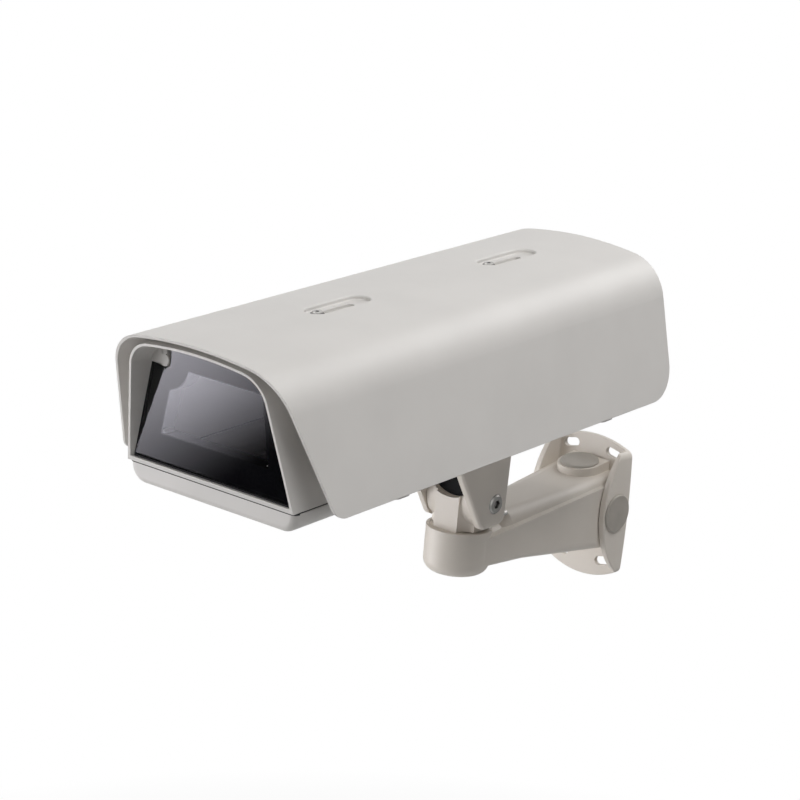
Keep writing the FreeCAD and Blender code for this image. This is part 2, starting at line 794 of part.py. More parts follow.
def window_sketch(body, depth=0, tilt="-window_rake"):
    """A sketch on the leaning window plane, whose height is counted from the cover's foot."""
    drawing = sketch(body, FRONT, WINDOW_FRONT, 0, SEAM, tilt)
    if depth != 0:
        place_back = f"(-({WINDOW_FRONT})-({depth})*cos(window_rake))"
        lift = f"({SEAM}-({depth})*sin(window_rake))"
        drawing.AttachmentOffset.Base = V(0, value(lift), value(place_back))
        tie(drawing, "AttachmentOffset.Base.y", lift)
        tie(drawing, "AttachmentOffset.Base.z", place_back)
    return drawing


def window_arch(drawing, inset, foot):
    """The cover's arch on the window plane, drawn in by an inset."""
    arch(drawing, WINDOW_TOP, foot, *COVER_ARCH, inset, "cover_height")


def hood_mouth(body):
    """The hollow of the hood, from its thin rim back to the window."""
    lean = "atan(cover_front_rake/cover_height)"
    rim = sketch(body, FRONT, f"({COVER_FRONT}+cover_front_rake-1)", 0, SEAM, lean)
    arch(rim, f"(cover_height/cos({lean}))", "sill_height", *COVER_ARCH, "hood_rim", "cover_height")
    back = window_sketch(body)
    window_arch(back, "hood_wall", "sill_height")
    loft(body, rim, back, cutting=True)


def window_seat(body):
    """The recess that holds the gasket and the glass."""
    recess = window_sketch(body)
    window_arch(recess, "hood_wall", "sill_height")
    cut(body, recess, WINDOW_DEPTH)


def aperture_outline(drawing, grow):
    """The clear opening, whose corner is cut away round the sensor boss."""
    low, high = f"(aperture_floor-({grow}))", f"(aperture_floor+aperture_height+({grow}))"
    collar = f"(sensor_collar-({grow}))"
    outline(drawing, [
        (f"(-aperture_base_width/2-({grow}))", low, "aperture_round"),
        (f"(aperture_base_width/2+({grow}))", low, "aperture_round"),
        (f"(aperture_top_width/2+({grow}))", high, "aperture_round"),
        (f"(-sensor_across+{collar}*cos(15))", high),
        (f"(-sensor_across+{collar}*cos(15))", f"(sensor_height-{collar}*sin(15))", "arc", collar, False),
        (f"(-sensor_across+{collar}*cos(82))", f"(sensor_height-{collar}*sin(82))"),
    ])


def aperture(body):
    """The opening in the bulkhead behind the glass."""
    opening = window_sketch(body, WINDOW_DEPTH)
    aperture_outline(opening, 0)
    cut(body, opening, "bulkhead_wall+cover_height*tan(window_rake)+2")


def sensor_boss(body):
    """The round boss that stands forward of the window beside its upper corner."""
    boss = window_sketch(body, WINDOW_DEPTH)
    circle(boss, "-sensor_across", "sensor_height", "sensor_radius")
    pad(body, boss, f"{WINDOW_DEPTH}+sensor_length")
    web = window_sketch(body, WINDOW_DEPTH)
    rectangle(web, "-sensor_across-sensor_radius", "-sensor_across+sensor_radius", "sensor_height",
              "sensor_height+sensor_radius*2.5")
    pad(body, web, f"{WINDOW_DEPTH}+sensor_length")
    tip = f"({WINDOW_FRONT}+sensor_height*tan(window_rake)-sensor_length)"
    level = f"({SEAM}+sensor_height-sensor_radius)"
    ramp = sketch(body, SIDE, "-sensor_across")
    outline(ramp, [
        (f"({tip}-10)", f"({level}-2)"),
        (f"({tip}+sensor_ramp_depth)", f"({level}-2)"),
        (f"({tip}-2)", f"({level}+sensor_ramp_height)"),
        (f"({tip}-10)", f"({level}+sensor_ramp_height)"),
    ])
    cut(body, ramp, "sensor_radius*2+0.1", both=True)
    spot, reach = value("-sensor_across"), value("sensor_radius+0.1")
    front, back = value(f"{tip}-3"), value(f"({tip}+sensor_ramp_depth+1)")
    top = value(f"({level}+sensor_ramp_height*0.8)")
    ease(body, "sensor_edge_round", lambda edge, middle:
         abs(middle.x - spot) < reach and front < middle.y < back and middle.z < top)


def cover_lugs(body):
    """The hinge eyes on one side and the bolt lugs on the other."""
    for spot in ("hinge_front_place", "hinge_rear_place"):
        for side in (-1, 1):
            middle = f"({spot}+{side}*((hinge_tray_width+hinge_cover_width)/2+hinge_side_gap))"
            start = f"({middle}-hinge_cover_width/2)"
            eye = sketch(body, FRONT, start)
            outline(eye, [
                (f"(-{SIDE_FACE}+cover_wall/2)", SEAM),
                (f"(-{SIDE_FACE}+cover_wall/2)", f"({SEAM}+hinge_radius)"),
                (HINGE_X, f"({SEAM}+hinge_radius)"),
                (HINGE_X, SEAM),
            ][::-1])
            pad(body, eye, "hinge_cover_width", back=True)
            ring = sketch(body, FRONT, start)
            circle(ring, HINGE_X, SEAM, "hinge_radius")
            pad(body, ring, "hinge_cover_width", back=True)
            bore = sketch(body, FRONT, start)
            circle(bore, HINGE_X, SEAM, "hinge_pin_radius+running_gap")
            cut(body, bore, "hinge_cover_width")
    for spot in ("lug_front_place", "lug_rear_place"):
        lug = sketch(body, TOP, SEAM)
        lug_outline(lug, spot)
        pad(body, lug, "lug_height")
        hole = sketch(body, TOP, SEAM)
        circle(hole, f"({SIDE_FACE}+bolt_across)", spot, "bolt_radius+bolt_entry_gap")
        cut(body, hole, "bolt_entry+0.5", back=True)


def lug_outline(drawing, spot):
    """A bolt lug's outline round its hole, drawn from the side wall."""
    outline(drawing, [
        (f"({SIDE_FACE}-cover_wall/2)", f"({spot}-lug_width/2)"),
        (f"({SIDE_FACE}+lug_reach)", f"({spot}-lug_width/2)", "lug_round"),
        (f"({SIDE_FACE}+lug_reach)", f"({spot}+lug_width/2)", "lug_round"),
        (f"({SIDE_FACE}-cover_wall/2)", f"({spot}+lug_width/2)"),
    ])


def window_gasket():
    """A soft frame whose web lies round the glass's edge and whose lip lies behind it."""
    body = new_body("window_gasket")
    web = window_sketch(body)
    window_arch(web, "hood_wall", "sill_height")
    pad(body, web, WINDOW_DEPTH, back=True)
    seat = window_sketch(body)
    glass_outline(seat)
    cut(body, seat, "glass_thickness")
    opening = window_sketch(body)
    window_arch(opening, "hood_wall+gasket_web+gasket_lip_width",
                "sill_height+gasket_web+gasket_lip_width")
    cut(body, opening)
    notch = window_sketch(body)
    circle(notch, "-sensor_across", "sensor_height", "sensor_radius+thread_gap")
    cut(body, notch)
    slit = window_sketch(body)
    rectangle(slit, "-sensor_across-sensor_radius-thread_gap",
              "-sensor_across+sensor_radius+thread_gap", "sensor_height", "sensor_height+30")
    cut(body, slit)
    tilted(body)


def glass_outline(drawing):
    """The outline that the glass and its seal share."""
    window_arch(drawing, "hood_wall+gasket_web", "sill_height+gasket_web")


def window_glass():
    """The pane, bevelled all round its front and notched round the sensor boss."""
    body = new_body("window_glass")
    pane = window_sketch(body)
    glass_outline(pane)
    pad(body, pane, "glass_thickness", back=True)
    face = body.Tip
    front = max(face.Shape.Faces, key=lambda side: -side.CenterOfMass.y + side.Area * 1e-6)
    bevel = body.newObject("PartDesign::Chamfer", "Bevel")
    number = [i for i, side in enumerate(face.Shape.Faces, 1) if side.isSame(front)][0]
    bevel.Base = (face, [f"Face{number}"])
    tie(bevel, "Size", "glass_bevel")
    settle(bevel, face.Shape.Volume)
    notch = window_sketch(body, "-1")
    circle(notch, "-sensor_across", "sensor_height", "sensor_radius+sensor_notch_gap")
    cut(body, notch, "glass_thickness+2")
    slit = window_sketch(body, "-1")
    rectangle(slit, "-sensor_across-sensor_radius-sensor_notch_gap",
              "-sensor_across+sensor_radius+sensor_notch_gap", "sensor_height", "sensor_height+30")
    cut(body, slit, "glass_thickness+2")
    tilted(body)


def tray_section(drawing, inset, top):
    """The tray's cross section, drawn in by an inset."""
    side = f"({SIDE_FACE}-({inset}))"
    low = f"({TRAY_FOOT}+({inset}))"
    outline(drawing, [
        (f"-{side}", low, f"(tray_round-({inset}))"),
        (side, low, f"(tray_round-({inset}))"),
        (side, top),
        (f"-{side}", top),
    ])


def tray():
    """The lower pan of the housing, with its lugs, eyes and inside bosses."""
    body = new_body("tray")
    block = sketch(body, FRONT, TRAY_FRONT)
    tray_section(block, 0, TRAY_TOP)
    pad(body, block, f"{COVER_REAR}-{TRAY_FRONT}", back=True)
    top, front, rear = value(TRAY_TOP), value(TRAY_FRONT), value(COVER_REAR)
    ease(body, "tray_corner", lambda edge, middle:
         near(middle.y, front, 0.01) and along(edge, "z") and middle.z < top)
    ease(body, "cover_rear_round", lambda edge, middle:
         near(middle.y, rear, 0.01) and along(edge, "z") and middle.z < top)
    hollow = sketch(body, FRONT, f"({TRAY_FRONT}+tray_wall)")
    tray_section(hollow, "tray_wall", f"({TRAY_TOP}+5)")
    cut(body, hollow, f"{COVER_REAR}-{TRAY_FRONT}-tray_wall*2")
    for spot in ("lug_front_place", "lug_rear_place"):
        lug = sketch(body, TOP, TRAY_TOP)
        lug_outline(lug, spot)
        pad(body, lug, "lug_height", back=True)
        hole = sketch(body, TOP, TRAY_TOP)
        circle(hole, f"({SIDE_FACE}+bolt_across)", spot, "bolt_radius+thread_gap")
        cut(body, hole, "lug_height")
        sink = sketch(body, TOP, f"({TRAY_TOP}-lug_height)")
        circle(sink, f"({SIDE_FACE}+bolt_across)", spot, "bolt_head_radius+thread_gap*2")
        cut(body, sink, "bolt_head_height", back=True)
    for spot in ("hinge_front_place", "hinge_rear_place"):
        start = f"({spot}-hinge_tray_width/2)"
        arm = sketch(body, FRONT, start)
        rectangle(arm, HINGE_X, f"(-{SIDE_FACE}+tray_wall/2)", f"({SEAM}-hinge_radius)", TRAY_TOP)
        pad(body, arm, "hinge_tray_width", back=True)
        ring = sketch(body, FRONT, start)
        circle(ring, HINGE_X, SEAM, "hinge_radius")
        pad(body, ring, "hinge_tray_width", back=True)
        bore = sketch(body, FRONT, start)
        circle(bore, HINGE_X, SEAM, "hinge_pin_radius+thread_gap/5")
        cut(body, bore, "hinge_tray_width")
    for across in GLAND_PLACES:
        hole = sketch(body, TOP, f"({TRAY_FLOOR}+5)")
        circle(hole, across, "-gland_place", "gland_thread+thread_gap")
        cut(body, hole, "tray_wall+10")
    for x, y in YOKE_SCREWS:
        hole = sketch(body, TOP, f"({TRAY_FLOOR}+5)")
        circle(hole, x, y, "yoke_screw_radius+thread_gap")
        cut(body, hole, "tray_wall+10")
    for x, y, height in POSTS:
        post = sketch(body, TOP, f"({TRAY_FLOOR}-tray_wall/2)")
        circle(post, x, y, "post_radius")
        pad(body, post, f"{height}+tray_wall/2")
        hole = sketch(body, TOP, f"({TRAY_FLOOR}+({height}))")
        circle(hole, x, y, "post_hole")
        cut(body, hole, f"{height}-1")
    rails = sketch(body, TOP, f"({TRAY_FLOOR}-tray_wall/2)")
    for side in (-1, 1):
        middle = f"({side}*rail_across)"
        rectangle(rails, f"({middle}-rail_width/2)", f"({middle}+rail_width/2)",
                  "-sled_front-sled_travel", "-sled_front+sled_length+sled_travel")
    pad(body, rails, "sled_lift+tray_wall/2")
    for spot in THUMB_PLACES:
        boss = sketch(body, TOP, f"({TRAY_FLOOR}-tray_wall/2)")
        circle(boss, 0, spot, "post_radius+1")
        pad(body, boss, "sled_lift+tray_wall/2")
        hole = sketch(body, TOP, SLED_FLOOR)
        circle(hole, 0, spot, "thumb_stem+thread_gap")
        cut(body, hole, "sled_lift-1")
    tilted(body)


GLAND_PLACES = ("-gland_spacing", 0, "gland_spacing")
YOKE_SCREWS = [(f"({side}*yoke_screw_across)", spot) for side in (-1, 1)
               for spot in ("-yoke_screw_front", "yoke_screw_rear")]
BOARD_HOLES = [(f"({side}*(board_width/2-board_corner))", spot) for side in (-1, 1)
               for spot in ("(board_front+board_corner)", "(board_front+board_length-board_corner)")]
POSTS = [(x, y, "board_lift") for x, y in BOARD_HOLES]
THUMB_PLACES = ("-thumb_place", "thumb_spacing-thumb_place")


def seam_gasket():
    """The soft cord frame between the cover's and the tray's rims."""
    body = new_body("seam_gasket")
    frame = sketch(body, TOP, TRAY_TOP)
    for inset, corner in (("seal_inset", 3.5), ("seal_inset+seal_width", 1.1)):
        rectangle(frame, f"-({SIDE_FACE}-({inset}))", f"({SIDE_FACE}-({inset}))",
                  f"({TRAY_FRONT}+({inset}))", f"({COVER_REAR}-({inset}))", corner)
    pad(body, frame, "seam_gap")
    tilted(body)


def cap_screw(name, radius, head_radius, head, length, key, flat=False):
    """A socket screw that points down, with the underside of its head at its origin."""
    body = pattern_body(name)
    profile = sketch(body, FRONT)
    crown = f"({head_radius}-0.3)" if not flat else f"({head_radius}-({head})*0.35)"
    outline(profile, [
        (0, f"-({length})"),
        (f"({radius}-0.4)", f"-({length})"),
        (radius, f"(0.4-({length}))"),
        (radius, 0),
        (head_radius, 0),
        (head_radius, f"({head})*0.6"),
        (crown, head),
        (0, head),
    ])
    spin(body, profile)
    socket = sketch(body, TOP, head)
    hexagon(socket, key)
    cut(body, socket, f"({head})*0.6")
    return body


def hexagon(drawing, across_half):
    """A hexagon about the sketch's middle, by the half of its width across flats."""
    size = f"(({across_half})/cos(30))"
    outline(drawing, [(f"({size}*cos({30 + 60 * k}))" if k % 3 != 1 else 0,
                       f"({size}*sin({30 + 60 * k}))") for k in range(6)])


def washer(name, bore, radius, thickness):
    """A flat ring."""
    body = pattern_body(name)
    ring = sketch(body, TOP)
    circle(ring, 0, 0, radius)
    circle(ring, 0, 0, bore)
    pad(body, ring, thickness)
    return body


def shield_fixings():
    """The two screws and washers that clamp the sunshield through its slots."""
    screw = cap_screw("shield_screw", "screw_radius", "screw_head_radius", "screw_head_height",
                      "(screw_length-1)", "screw_key")
    head_seat = f"({DISH_FLOOR}+washer_thickness)"
    tilted(copies("shield_screws", screw, [(0, spot, head_seat, UPRIGHT) for spot in SCREW_PLACES]))
    ring = washer("shield_washer", "screw_radius+thread_gap", "washer_radius", "washer_thickness")
    tilted(copies("shield_washers", ring, [(0, spot, DISH_FLOOR, UPRIGHT) for spot in SCREW_PLACES]))


def cover_bolts():
    """The captive bolts that rise from the tray's lugs into the cover's."""
    bolt = cap_screw("cover_bolt", "bolt_radius", "bolt_head_radius", "(bolt_head_height-0.4)",
                     "(lug_height-bolt_head_height+seam_gap+bolt_entry)", "bolt_radius*0.8")
    upward = FreeCAD.Rotation(V(1, 0, 0), 180)
    seat = f"({TRAY_TOP}-lug_height+bolt_head_height)"
    across = f"({SIDE_FACE}+bolt_across)"
    tilted(copies("cover_bolts", bolt, [(across, spot, seat, upward)
                                        for spot in ("lug_front_place", "lug_rear_place")]))


def hinge_pins():
    """The two pins that the cover turns on."""
    body = pattern_body("hinge_pin")
    profile = sketch(body, FRONT)
    reach = "(hinge_tray_width/2+hinge_side_gap+hinge_cover_width)"
    outline(profile, [
        (0, f"-{reach}"),
        ("hinge_pin_radius", f"-{reach}"),
        ("hinge_pin_radius", f"({reach}+0.3)"),
        ("hinge_pin_head", f"({reach}+0.3)"),
        ("hinge_pin_head", f"({reach}+0.3+hinge_pin_head_height)"),
        (0, f"({reach}+0.3+hinge_pin_head_height)"),
    ])
    spin(body, profile)
    backward = FreeCAD.Rotation(V(1, 0, 0), -90)
    tilted(copies("hinge_pins", body, [(HINGE_X, spot, SEAM, backward)
                                       for spot in ("hinge_front_place", "hinge_rear_place")]))


def yoke():
    """The bent bracket under the tray, whose two ears hold the tilt bolts."""
    body = new_body("yoke")
    base = sketch(body, TOP, YOKE_FOOT)
    rectangle(base, "-yoke_base_width/2", "yoke_base_width/2", "-yoke_base_front", "yoke_base_rear",
              "yoke_base_round")
    pad(body, base, "yoke_base")
    for side in (-1, 1):
        ear = sketch(body, SIDE, f"({side}*{EAR_INSIDE})" if side > 0 else f"(-{EAR_OUTSIDE})")
        top = f"({YOKE_FOOT}+yoke_base/2)"
        outline(ear, [
            ("-ear_front_foot", "-ear_foot", "ear_foot_round"),
            ("ear_rear_foot", "-ear_foot", "ear_foot_round"),
            ("ear_rear_top", top),
            ("-ear_front_top", top),
            ("-ear_front_bend", "ear_bend_height", "ear_bend_round"),
        ])
        pad(body, ear, "yoke_ear")
    top = value(YOKE_FOOT)
    ease(body, "ear_edge_round", lambda edge, middle:
         near(abs(middle.x), value(EAR_OUTSIDE), 0.01) and span(edge, "x") < 0.01 and middle.z < top - 0.5)
    bores = sketch(body, SIDE)
    circle(bores, 0, 0, "tilt_bolt_radius+thread_gap")
    cut(body, bores, both=True)
    for side in (-1, 1):
        sink = sketch(body, SIDE, f"({side}*({EAR_OUTSIDE}))")
        circle(sink, 0, 0, "tilt_head_radius+thread_gap*3")
        cut(body, sink, "tilt_head_height-tilt_head_proud", back=side < 0)
    for x, y in YOKE_SCREWS:
        hole = sketch(body, TOP, YOKE_TOP)
        circle(hole, x, y, "yoke_screw_radius+thread_gap")
        cut(body, hole, "yoke_base")
    lock = sketch(body, FRONT, "ear_rear_top+20")
    circle(lock, "lock_across", "-lock_drop", "lock_radius+thread_gap")
    cut(body, lock, "ear_rear_top+20-tilt_bolt_radius+lock_radius", back=True)
    tilted(body)


def tilt_fixings():
    """The two bolts that the yoke turns on and the screw that locks it."""
    bolt = cap_screw("tilt_bolt", "tilt_bolt_radius", "tilt_head_radius", "tilt_head_height",
                     f"({EAR_OUTSIDE}+tilt_head_proud-tilt_head_height-tilt_bolt_end)", "tilt_key",
                     flat=True)
    seat = f"({EAR_OUTSIDE}+tilt_head_proud-tilt_head_height)"
    tilted(copies("tilt_bolts", bolt, [
        (seat, 0, 0, FreeCAD.Rotation(V(0, 1, 0), 90)),
        (f"-{seat}", 0, 0, FreeCAD.Rotation(V(0, 1, 0), -90)),
    ]))
    body = new_body("tilt_lock_screw")
    rod = sketch(body, FRONT, "(ear_rear_foot+lock_proud)")
    circle(rod, "lock_across", "-lock_drop", "lock_radius")
    pad(body, rod, "lock_length")
    socket = sketch(body, FRONT, "(ear_rear_foot+lock_proud)")
    circle(socket, "lock_across", "-lock_drop", "lock_radius/2")
    cut(body, socket, "lock_length/4", back=True)
    tilted(body)


def yoke_screws():
    """The screws that hold the yoke under the tray."""
    screw = cap_screw("yoke_screw", "yoke_screw_radius", "yoke_screw_head", "yoke_screw_head_height",
                      "(yoke_base+tray_wall)", "yoke_screw_radius*0.7")
    tilted(copies("yoke_screws", screw, [(x, y, TRAY_FLOOR, UPRIGHT) for x, y in YOKE_SCREWS]))


def knuckle():
    """The casting between the arm and the yoke: a spigot, a block and a round cross boss."""
    body = new_body("knuckle")
    turned = sketch(body, FRONT)
    outline(turned, [
        (0, f"({CUP_FLOOR}-spigot_depth)"),
        ("spigot_radius", f"({CUP_FLOOR}-spigot_depth)"),
        ("spigot_radius", f"({CUP_FLOOR}+recess_gap/4)"),
        ("flange_radius", f"({CUP_FLOOR}+recess_gap/4)"),
        ("flange_radius", f"({CUP_FLOOR}+flange_height)"),
        (0, f"({CUP_FLOOR}+flange_height)"),
    ])
    spin(body, turned)
    groove = sketch(body, FRONT)
    ring_top = f"({SHELF_FOOT}-ring_thickness*0.2)"
    rectangle(groove, "spigot_radius-ring_groove", "spigot_radius+2",
              f"({ring_top}-ring_thickness-0.1)", ring_top)
    spin(body, groove, cutting=True)
    block = sketch(body, TOP, f"({CUP_FLOOR}+flange_height/2)")
    rectangle(block, "-knuckle_width/2", "knuckle_width/2", "-knuckle_length/2", "knuckle_length/2")
    pad(body, block, f"tilt_height+knuckle_boss_radius/2-{CUP_FLOOR}-flange_height/2")
    wings = sketch(body, TOP, "(cup_top+wing_gap)")
    outline(wings, [
        ("-knuckle_width/2", "-knuckle_length/2"),
        ("knuckle_width/2", "-knuckle_length/2", "arc", "scoop_radius", False),
        ("wing_width/2", "-wing_front"),
        ("wing_width/2", "wing_rear", "wing_round"),
        ("-wing_width/2", "wing_rear", "wing_round"),
        ("-wing_width/2", "-wing_front", "arc", "scoop_radius", False),
    ])
    pad(body, wings, "tilt_height-cup_top-wing_gap")
    lead = "(pan_reach-tilt_reach)"
    boss_end = f"({EAR_INSIDE}-knuckle_boss_gap)"
    drum = sketch(body, FRONT, lead, 0, "tilt_height")
    outline(drum, [
        (f"-{boss_end}", 0),
        (boss_end, 0),
        (boss_end, "knuckle_boss_radius", "knuckle_edge_round"),
        (f"-{boss_end}", "knuckle_boss_radius", "knuckle_edge_round"),
    ])
    spin(body, drum, axis="H_Axis")
    saddle = sketch(body, FRONT, "-saddle_radius*2")
    circle(saddle, 0, "tilt_height+saddle_height+saddle_radius", "saddle_radius")
    cut(body, saddle, "saddle_radius*4")
    bore = sketch(body, TOP, "tilt_height+knuckle_boss_radius")
    circle(bore, 0, 0, "cable_bore")
    cut(body, bore)
    for side in (-1, 1):
        hole = sketch(body, SIDE, f"({side}*{boss_end})")
        circle(hole, lead, "tilt_height", "tilt_bolt_radius+thread_gap")
        cut(body, hole, f"{boss_end}-tilt_bolt_end+0.5", back=side < 0)
    place(body, 0, "-pan_reach")


def retaining_ring():
    """The open ring in the spigot's groove, under the cup's shelf."""
    body = new_body("retaining_ring")
    top = f"({SHELF_FOOT}-ring_thickness*0.2-0.05)"
    ring = sketch(body, TOP, top)
    circle(ring, 0, 0, "ring_radius")
    circle(ring, 0, 0, "spigot_radius-ring_groove+0.1")
    pad(body, ring, "ring_thickness", back=True)
    gap = sketch(body, TOP, f"({top}+1)")
    rectangle(gap, "-3", "3", "5", "ring_radius+5")
    cut(body, gap, "ring_thickness+2")
    place(body, 0, "-pan_reach")


def cable_boot():
    """The soft boot that fills the yoke above the knuckle and hides the cables."""
    body = new_body("cable_boot")
    half = f"({EAR_INSIDE}-boot_gap)"
    edge = f"(saddle_height+boot_seat_gap+saddle_radius-sqrt(saddle_radius^2-{half}^2))"
    section = sketch(body, FRONT, "-boot_front")
    outline(section, [
        (f"-{half}", edge, "arc", "saddle_radius", True),
        (half, edge),
        (half, "boot_radius+5"),
        (f"-{half}", "boot_radius+5"),
    ])
    pad(body, section, "boot_front+boot_rear", back=True)
    crown = sketch(body, SIDE)
    front, rear = "(boot_front+2)", "(boot_rear+2)"
    outline(crown, [
        (rear, f"sqrt(boot_radius^2-{rear}^2)", "arc", "boot_radius", True),
        (f"-{front}", f"sqrt(boot_radius^2-{front}^2)"),
        (f"-{front}", "boot_radius+10"),
        (rear, "boot_radius+10"),
    ])
    cut(body, crown, both=True)
    place(body, 0, "-tilt_reach", "tilt_height")


PLATE_SIDE = "(plate_width/2)"
PLATE_HIGH = f"(plate_top-plate_top_arc+sqrt(plate_top_arc^2-{PLATE_SIDE}^2))"
PLATE_LOW = f"(plate_foot_arc-plate_foot-sqrt(plate_foot_arc^2-{PLATE_SIDE}^2))"
PLATE_BULGE = f"(plate_side_arc-sqrt(plate_side_arc^2-(({PLATE_HIGH}-{PLATE_LOW})/2)^2))"
CHEEK_INSIDE = f"({PLATE_SIDE}-cheek_thickness)"
SIDE_SEAT = f"({PLATE_SIDE}+{PLATE_BULGE}-plug_seat)"


def wall_arm():
    """The hollow casting that bolts to the wall: plate, cheeks, arm and cup."""
    body = new_body("wall_arm")
    wall_plate(body)
    arm_outside(body)
    cup_outside(body)
    plug_boss(body)
    arm_inside(body)
    cup_inside(body)
    for side in (-1, 1):
        for level in (-1, 1):
            hole = sketch(body, FRONT)
            slot(hole, f"({side}*hole_across)", f"({level}*hole_up)", "hole_length", "hole_width",
                 f"({-side * level}*hole_turn)")
            cut(body, hole, "plate_thickness+30", back=True)


def wall_plate(body):
    """The plate against the wall and its two side cheeks, whose outer faces swell a little."""
    plate = sketch(body, FRONT)
    outline(plate, [
        (f"-{PLATE_SIDE}", PLATE_LOW, "arc", "plate_foot_arc", True),
        (PLATE_SIDE, PLATE_LOW, "arc", "plate_side_arc", True),
        (PLATE_SIDE, PLATE_HIGH, "arc", "plate_top_arc", True),
        (f"-{PLATE_SIDE}", PLATE_HIGH, "arc", "plate_side_arc", True),
    ])
    pad(body, plate, "cheek_depth+2")
    ease(body, "plate_corner", lambda edge, middle: along(edge, "y"))
    between = sketch(body, FRONT, "-plate_thickness")
    rectangle(between, f"-{CHEEK_INSIDE}", CHEEK_INSIDE, f"{PLATE_LOW}-20", f"{PLATE_HIGH}+20")
    cut(body, between, back=True)
    profile = sketch(body, SIDE)
    low, high = "(cheek_middle-cheek_rise)", "(cheek_middle+cheek_rise)"
    reach = "(cheek_depth-cheek_edge)"
    outline(profile, [
        ("-cheek_edge", high, "arc", f"((cheek_rise^2+{reach}^2)/(2*{reach}))", True),
        ("-cheek_edge", low),
        ("-cheek_edge", f"{low}-10"),
        ("-cheek_depth-10", f"{low}-10"),
        ("-cheek_depth-10", f"{high}+10"),
        ("-cheek_edge", f"{high}+10"),
    ])
    cut(body, profile, both=True)
    front, inside = value("-plate_thickness"), value(CHEEK_INSIDE)
    ease(body, "cheek_root_round", lambda edge, middle:
         near(abs(middle.x), inside, 0.01) and near(middle.y, front, 0.01))
    ease(body, "cheek_edge_round", lambda edge, middle:
         abs(middle.x) > value(PLATE_SIDE) and middle.y < front - 4 and span(edge, "z") > 20)
    ease(body, "plate_edge_round", lambda edge, middle:
         near(middle.y, front, 0.01) and abs(middle.x) < inside / 2)


def arm_section(drawing, width, low, high, corner):
    """The lower arm's cross section, with round lower corners."""
    outline(drawing, [
        (f"-({width})/2", low, corner),
        (f"({width})/2", low, corner),
        (f"({width})/2", high),
        (f"-({width})/2", high),
    ])


def barrel_section(drawing, width, top, corner):
    """The upper arm's cross section, with a round top."""
    outline(drawing, [
        (f"-({width})/2", -4),
        (f"({width})/2", -4),
        (f"({width})/2", top, corner),
        (f"-({width})/2", top, corner),
    ])


def arm_outside(body):
    """The lower arm, and the upper arm that slopes down to the cup."""
    root = sketch(body, FRONT)
    arm_section(root, "arm_root_width", "-arm_root_foot", "arm_root_top", "arm_root_round")
    knee = sketch(body, FRONT, "-knee_reach")
    arm_section(knee, "knee_width", "-knee_foot", "knee_top", "knee_round")
    loft(body, root, knee)
    start = sketch(body, FRONT, "-knee_reach")
    arm_section(start, "knee_width", "-knee_foot", "knee_top", "knee_round")
    tip = sketch(body, FRONT, "-pan_reach")
    arm_section(tip, "arm_tip_width", "-arm_tip_foot", "arm_tip_top", "arm_tip_round")
    loft(body, start, tip)
    root = sketch(body, FRONT)
    barrel_section(root, "barrel_root_width", "barrel_root_top", "barrel_root_round")
    tip = sketch(body, FRONT, "-barrel_reach")
    barrel_section(tip, "barrel_tip_width", "barrel_tip_top", "barrel_tip_round")
    loft(body, root, tip)
    shoulder = sketch(body, FRONT, "-barrel_reach")
    barrel_section(shoulder, "barrel_tip_width", "barrel_tip_top", "barrel_tip_round")
    throat = sketch(body, FRONT, "-neck_reach")
    barrel_section(throat, "neck_width", "neck_top", "neck_round")
    loft(body, shoulder, throat)
    neck = sketch(body, FRONT, "-pan_reach")
    barrel_section(neck, "neck_width", "neck_top", "neck_round")
    pad(body, neck, "pan_reach-neck_reach", back=True)


def cup_outside(body):
    """The turned outside of the pan cup."""
    cup = sketch(body, SIDE, 0, "-pan_reach")
    outline(cup, [
        (0, "-cup_foot"),
        ("cup_radius", "-cup_foot", "cup_round"),
        ("cup_radius", "cup_top"),
        (0, "cup_top"),
    ])
    spin(body, cup)


def plug_boss(body):
    """The half-round boss that carries the top plug."""
    reach = "((top_plug_reach-plate_thickness+1)/cos(top_plug_slope))"
    boss = sketch(body, TOP, "top_plug_height", 0, "-top_plug_reach", "top_plug_slope")
    rectangle(boss, "-top_boss_radius", "top_boss_radius", 0, reach)
    pad(body, boss, "top_boss_depth", back=True)
    nose = sketch(body, TOP, "top_plug_height", 0, "-top_plug_reach", "top_plug_slope")
    circle(nose, 0, 0, "top_boss_radius")
    pad(body, nose, "top_boss_depth", back=True)


def arm_inside(body):
    """The hollows of the arm and the holes that the plugs close."""
    root = sketch(body, FRONT)
    arm_section(root, "arm_root_width-arm_wall*2", "arm_wall-arm_root_foot", "arm_root_top-arm_wall",
                "arm_root_round-arm_wall")
    tip = sketch(body, FRONT, "-hollow_reach")
    arm_section(tip, "arm_tip_width-arm_wall*4", "-hollow_foot", "-arm_wall", "arm_tip_round")
    loft(body, root, tip, cutting=True)
    root = sketch(body, FRONT)
    barrel_section(root, "barrel_root_width-arm_wall*2", "barrel_root_top-arm_wall",
                   "barrel_root_round-arm_wall")
    tip = sketch(body, FRONT, "-(barrel_reach-arm_wall*2)")
    barrel_section(tip, "barrel_tip_width-arm_wall*2", "barrel_tip_top-arm_wall",
                   "barrel_tip_round-arm_wall")
    loft(body, root, tip, cutting=True)
    top_hole = sketch(body, TOP, "top_plug_height", 0, "-top_plug_reach", "top_plug_slope")
    circle(top_hole, 0, 0, "plug_stem_radius+plug_gap")
    cut(body, top_hole, "top_boss_depth+arm_wall")
    side_hole = sketch(body, SIDE)
    circle(side_hole, "-side_plug_reach", "side_plug_rise", "plug_stem_radius+plug_gap")
    cut(body, side_hole, both=True)
    for side in (-1, 1):
        seat = sketch(body, SIDE, f"({side}*{SIDE_SEAT})")
        circle(seat, "-side_plug_reach", "side_plug_rise", "plug_radius+plug_gap")
        cut(body, seat, "plug_seat+1", back=side > 0)


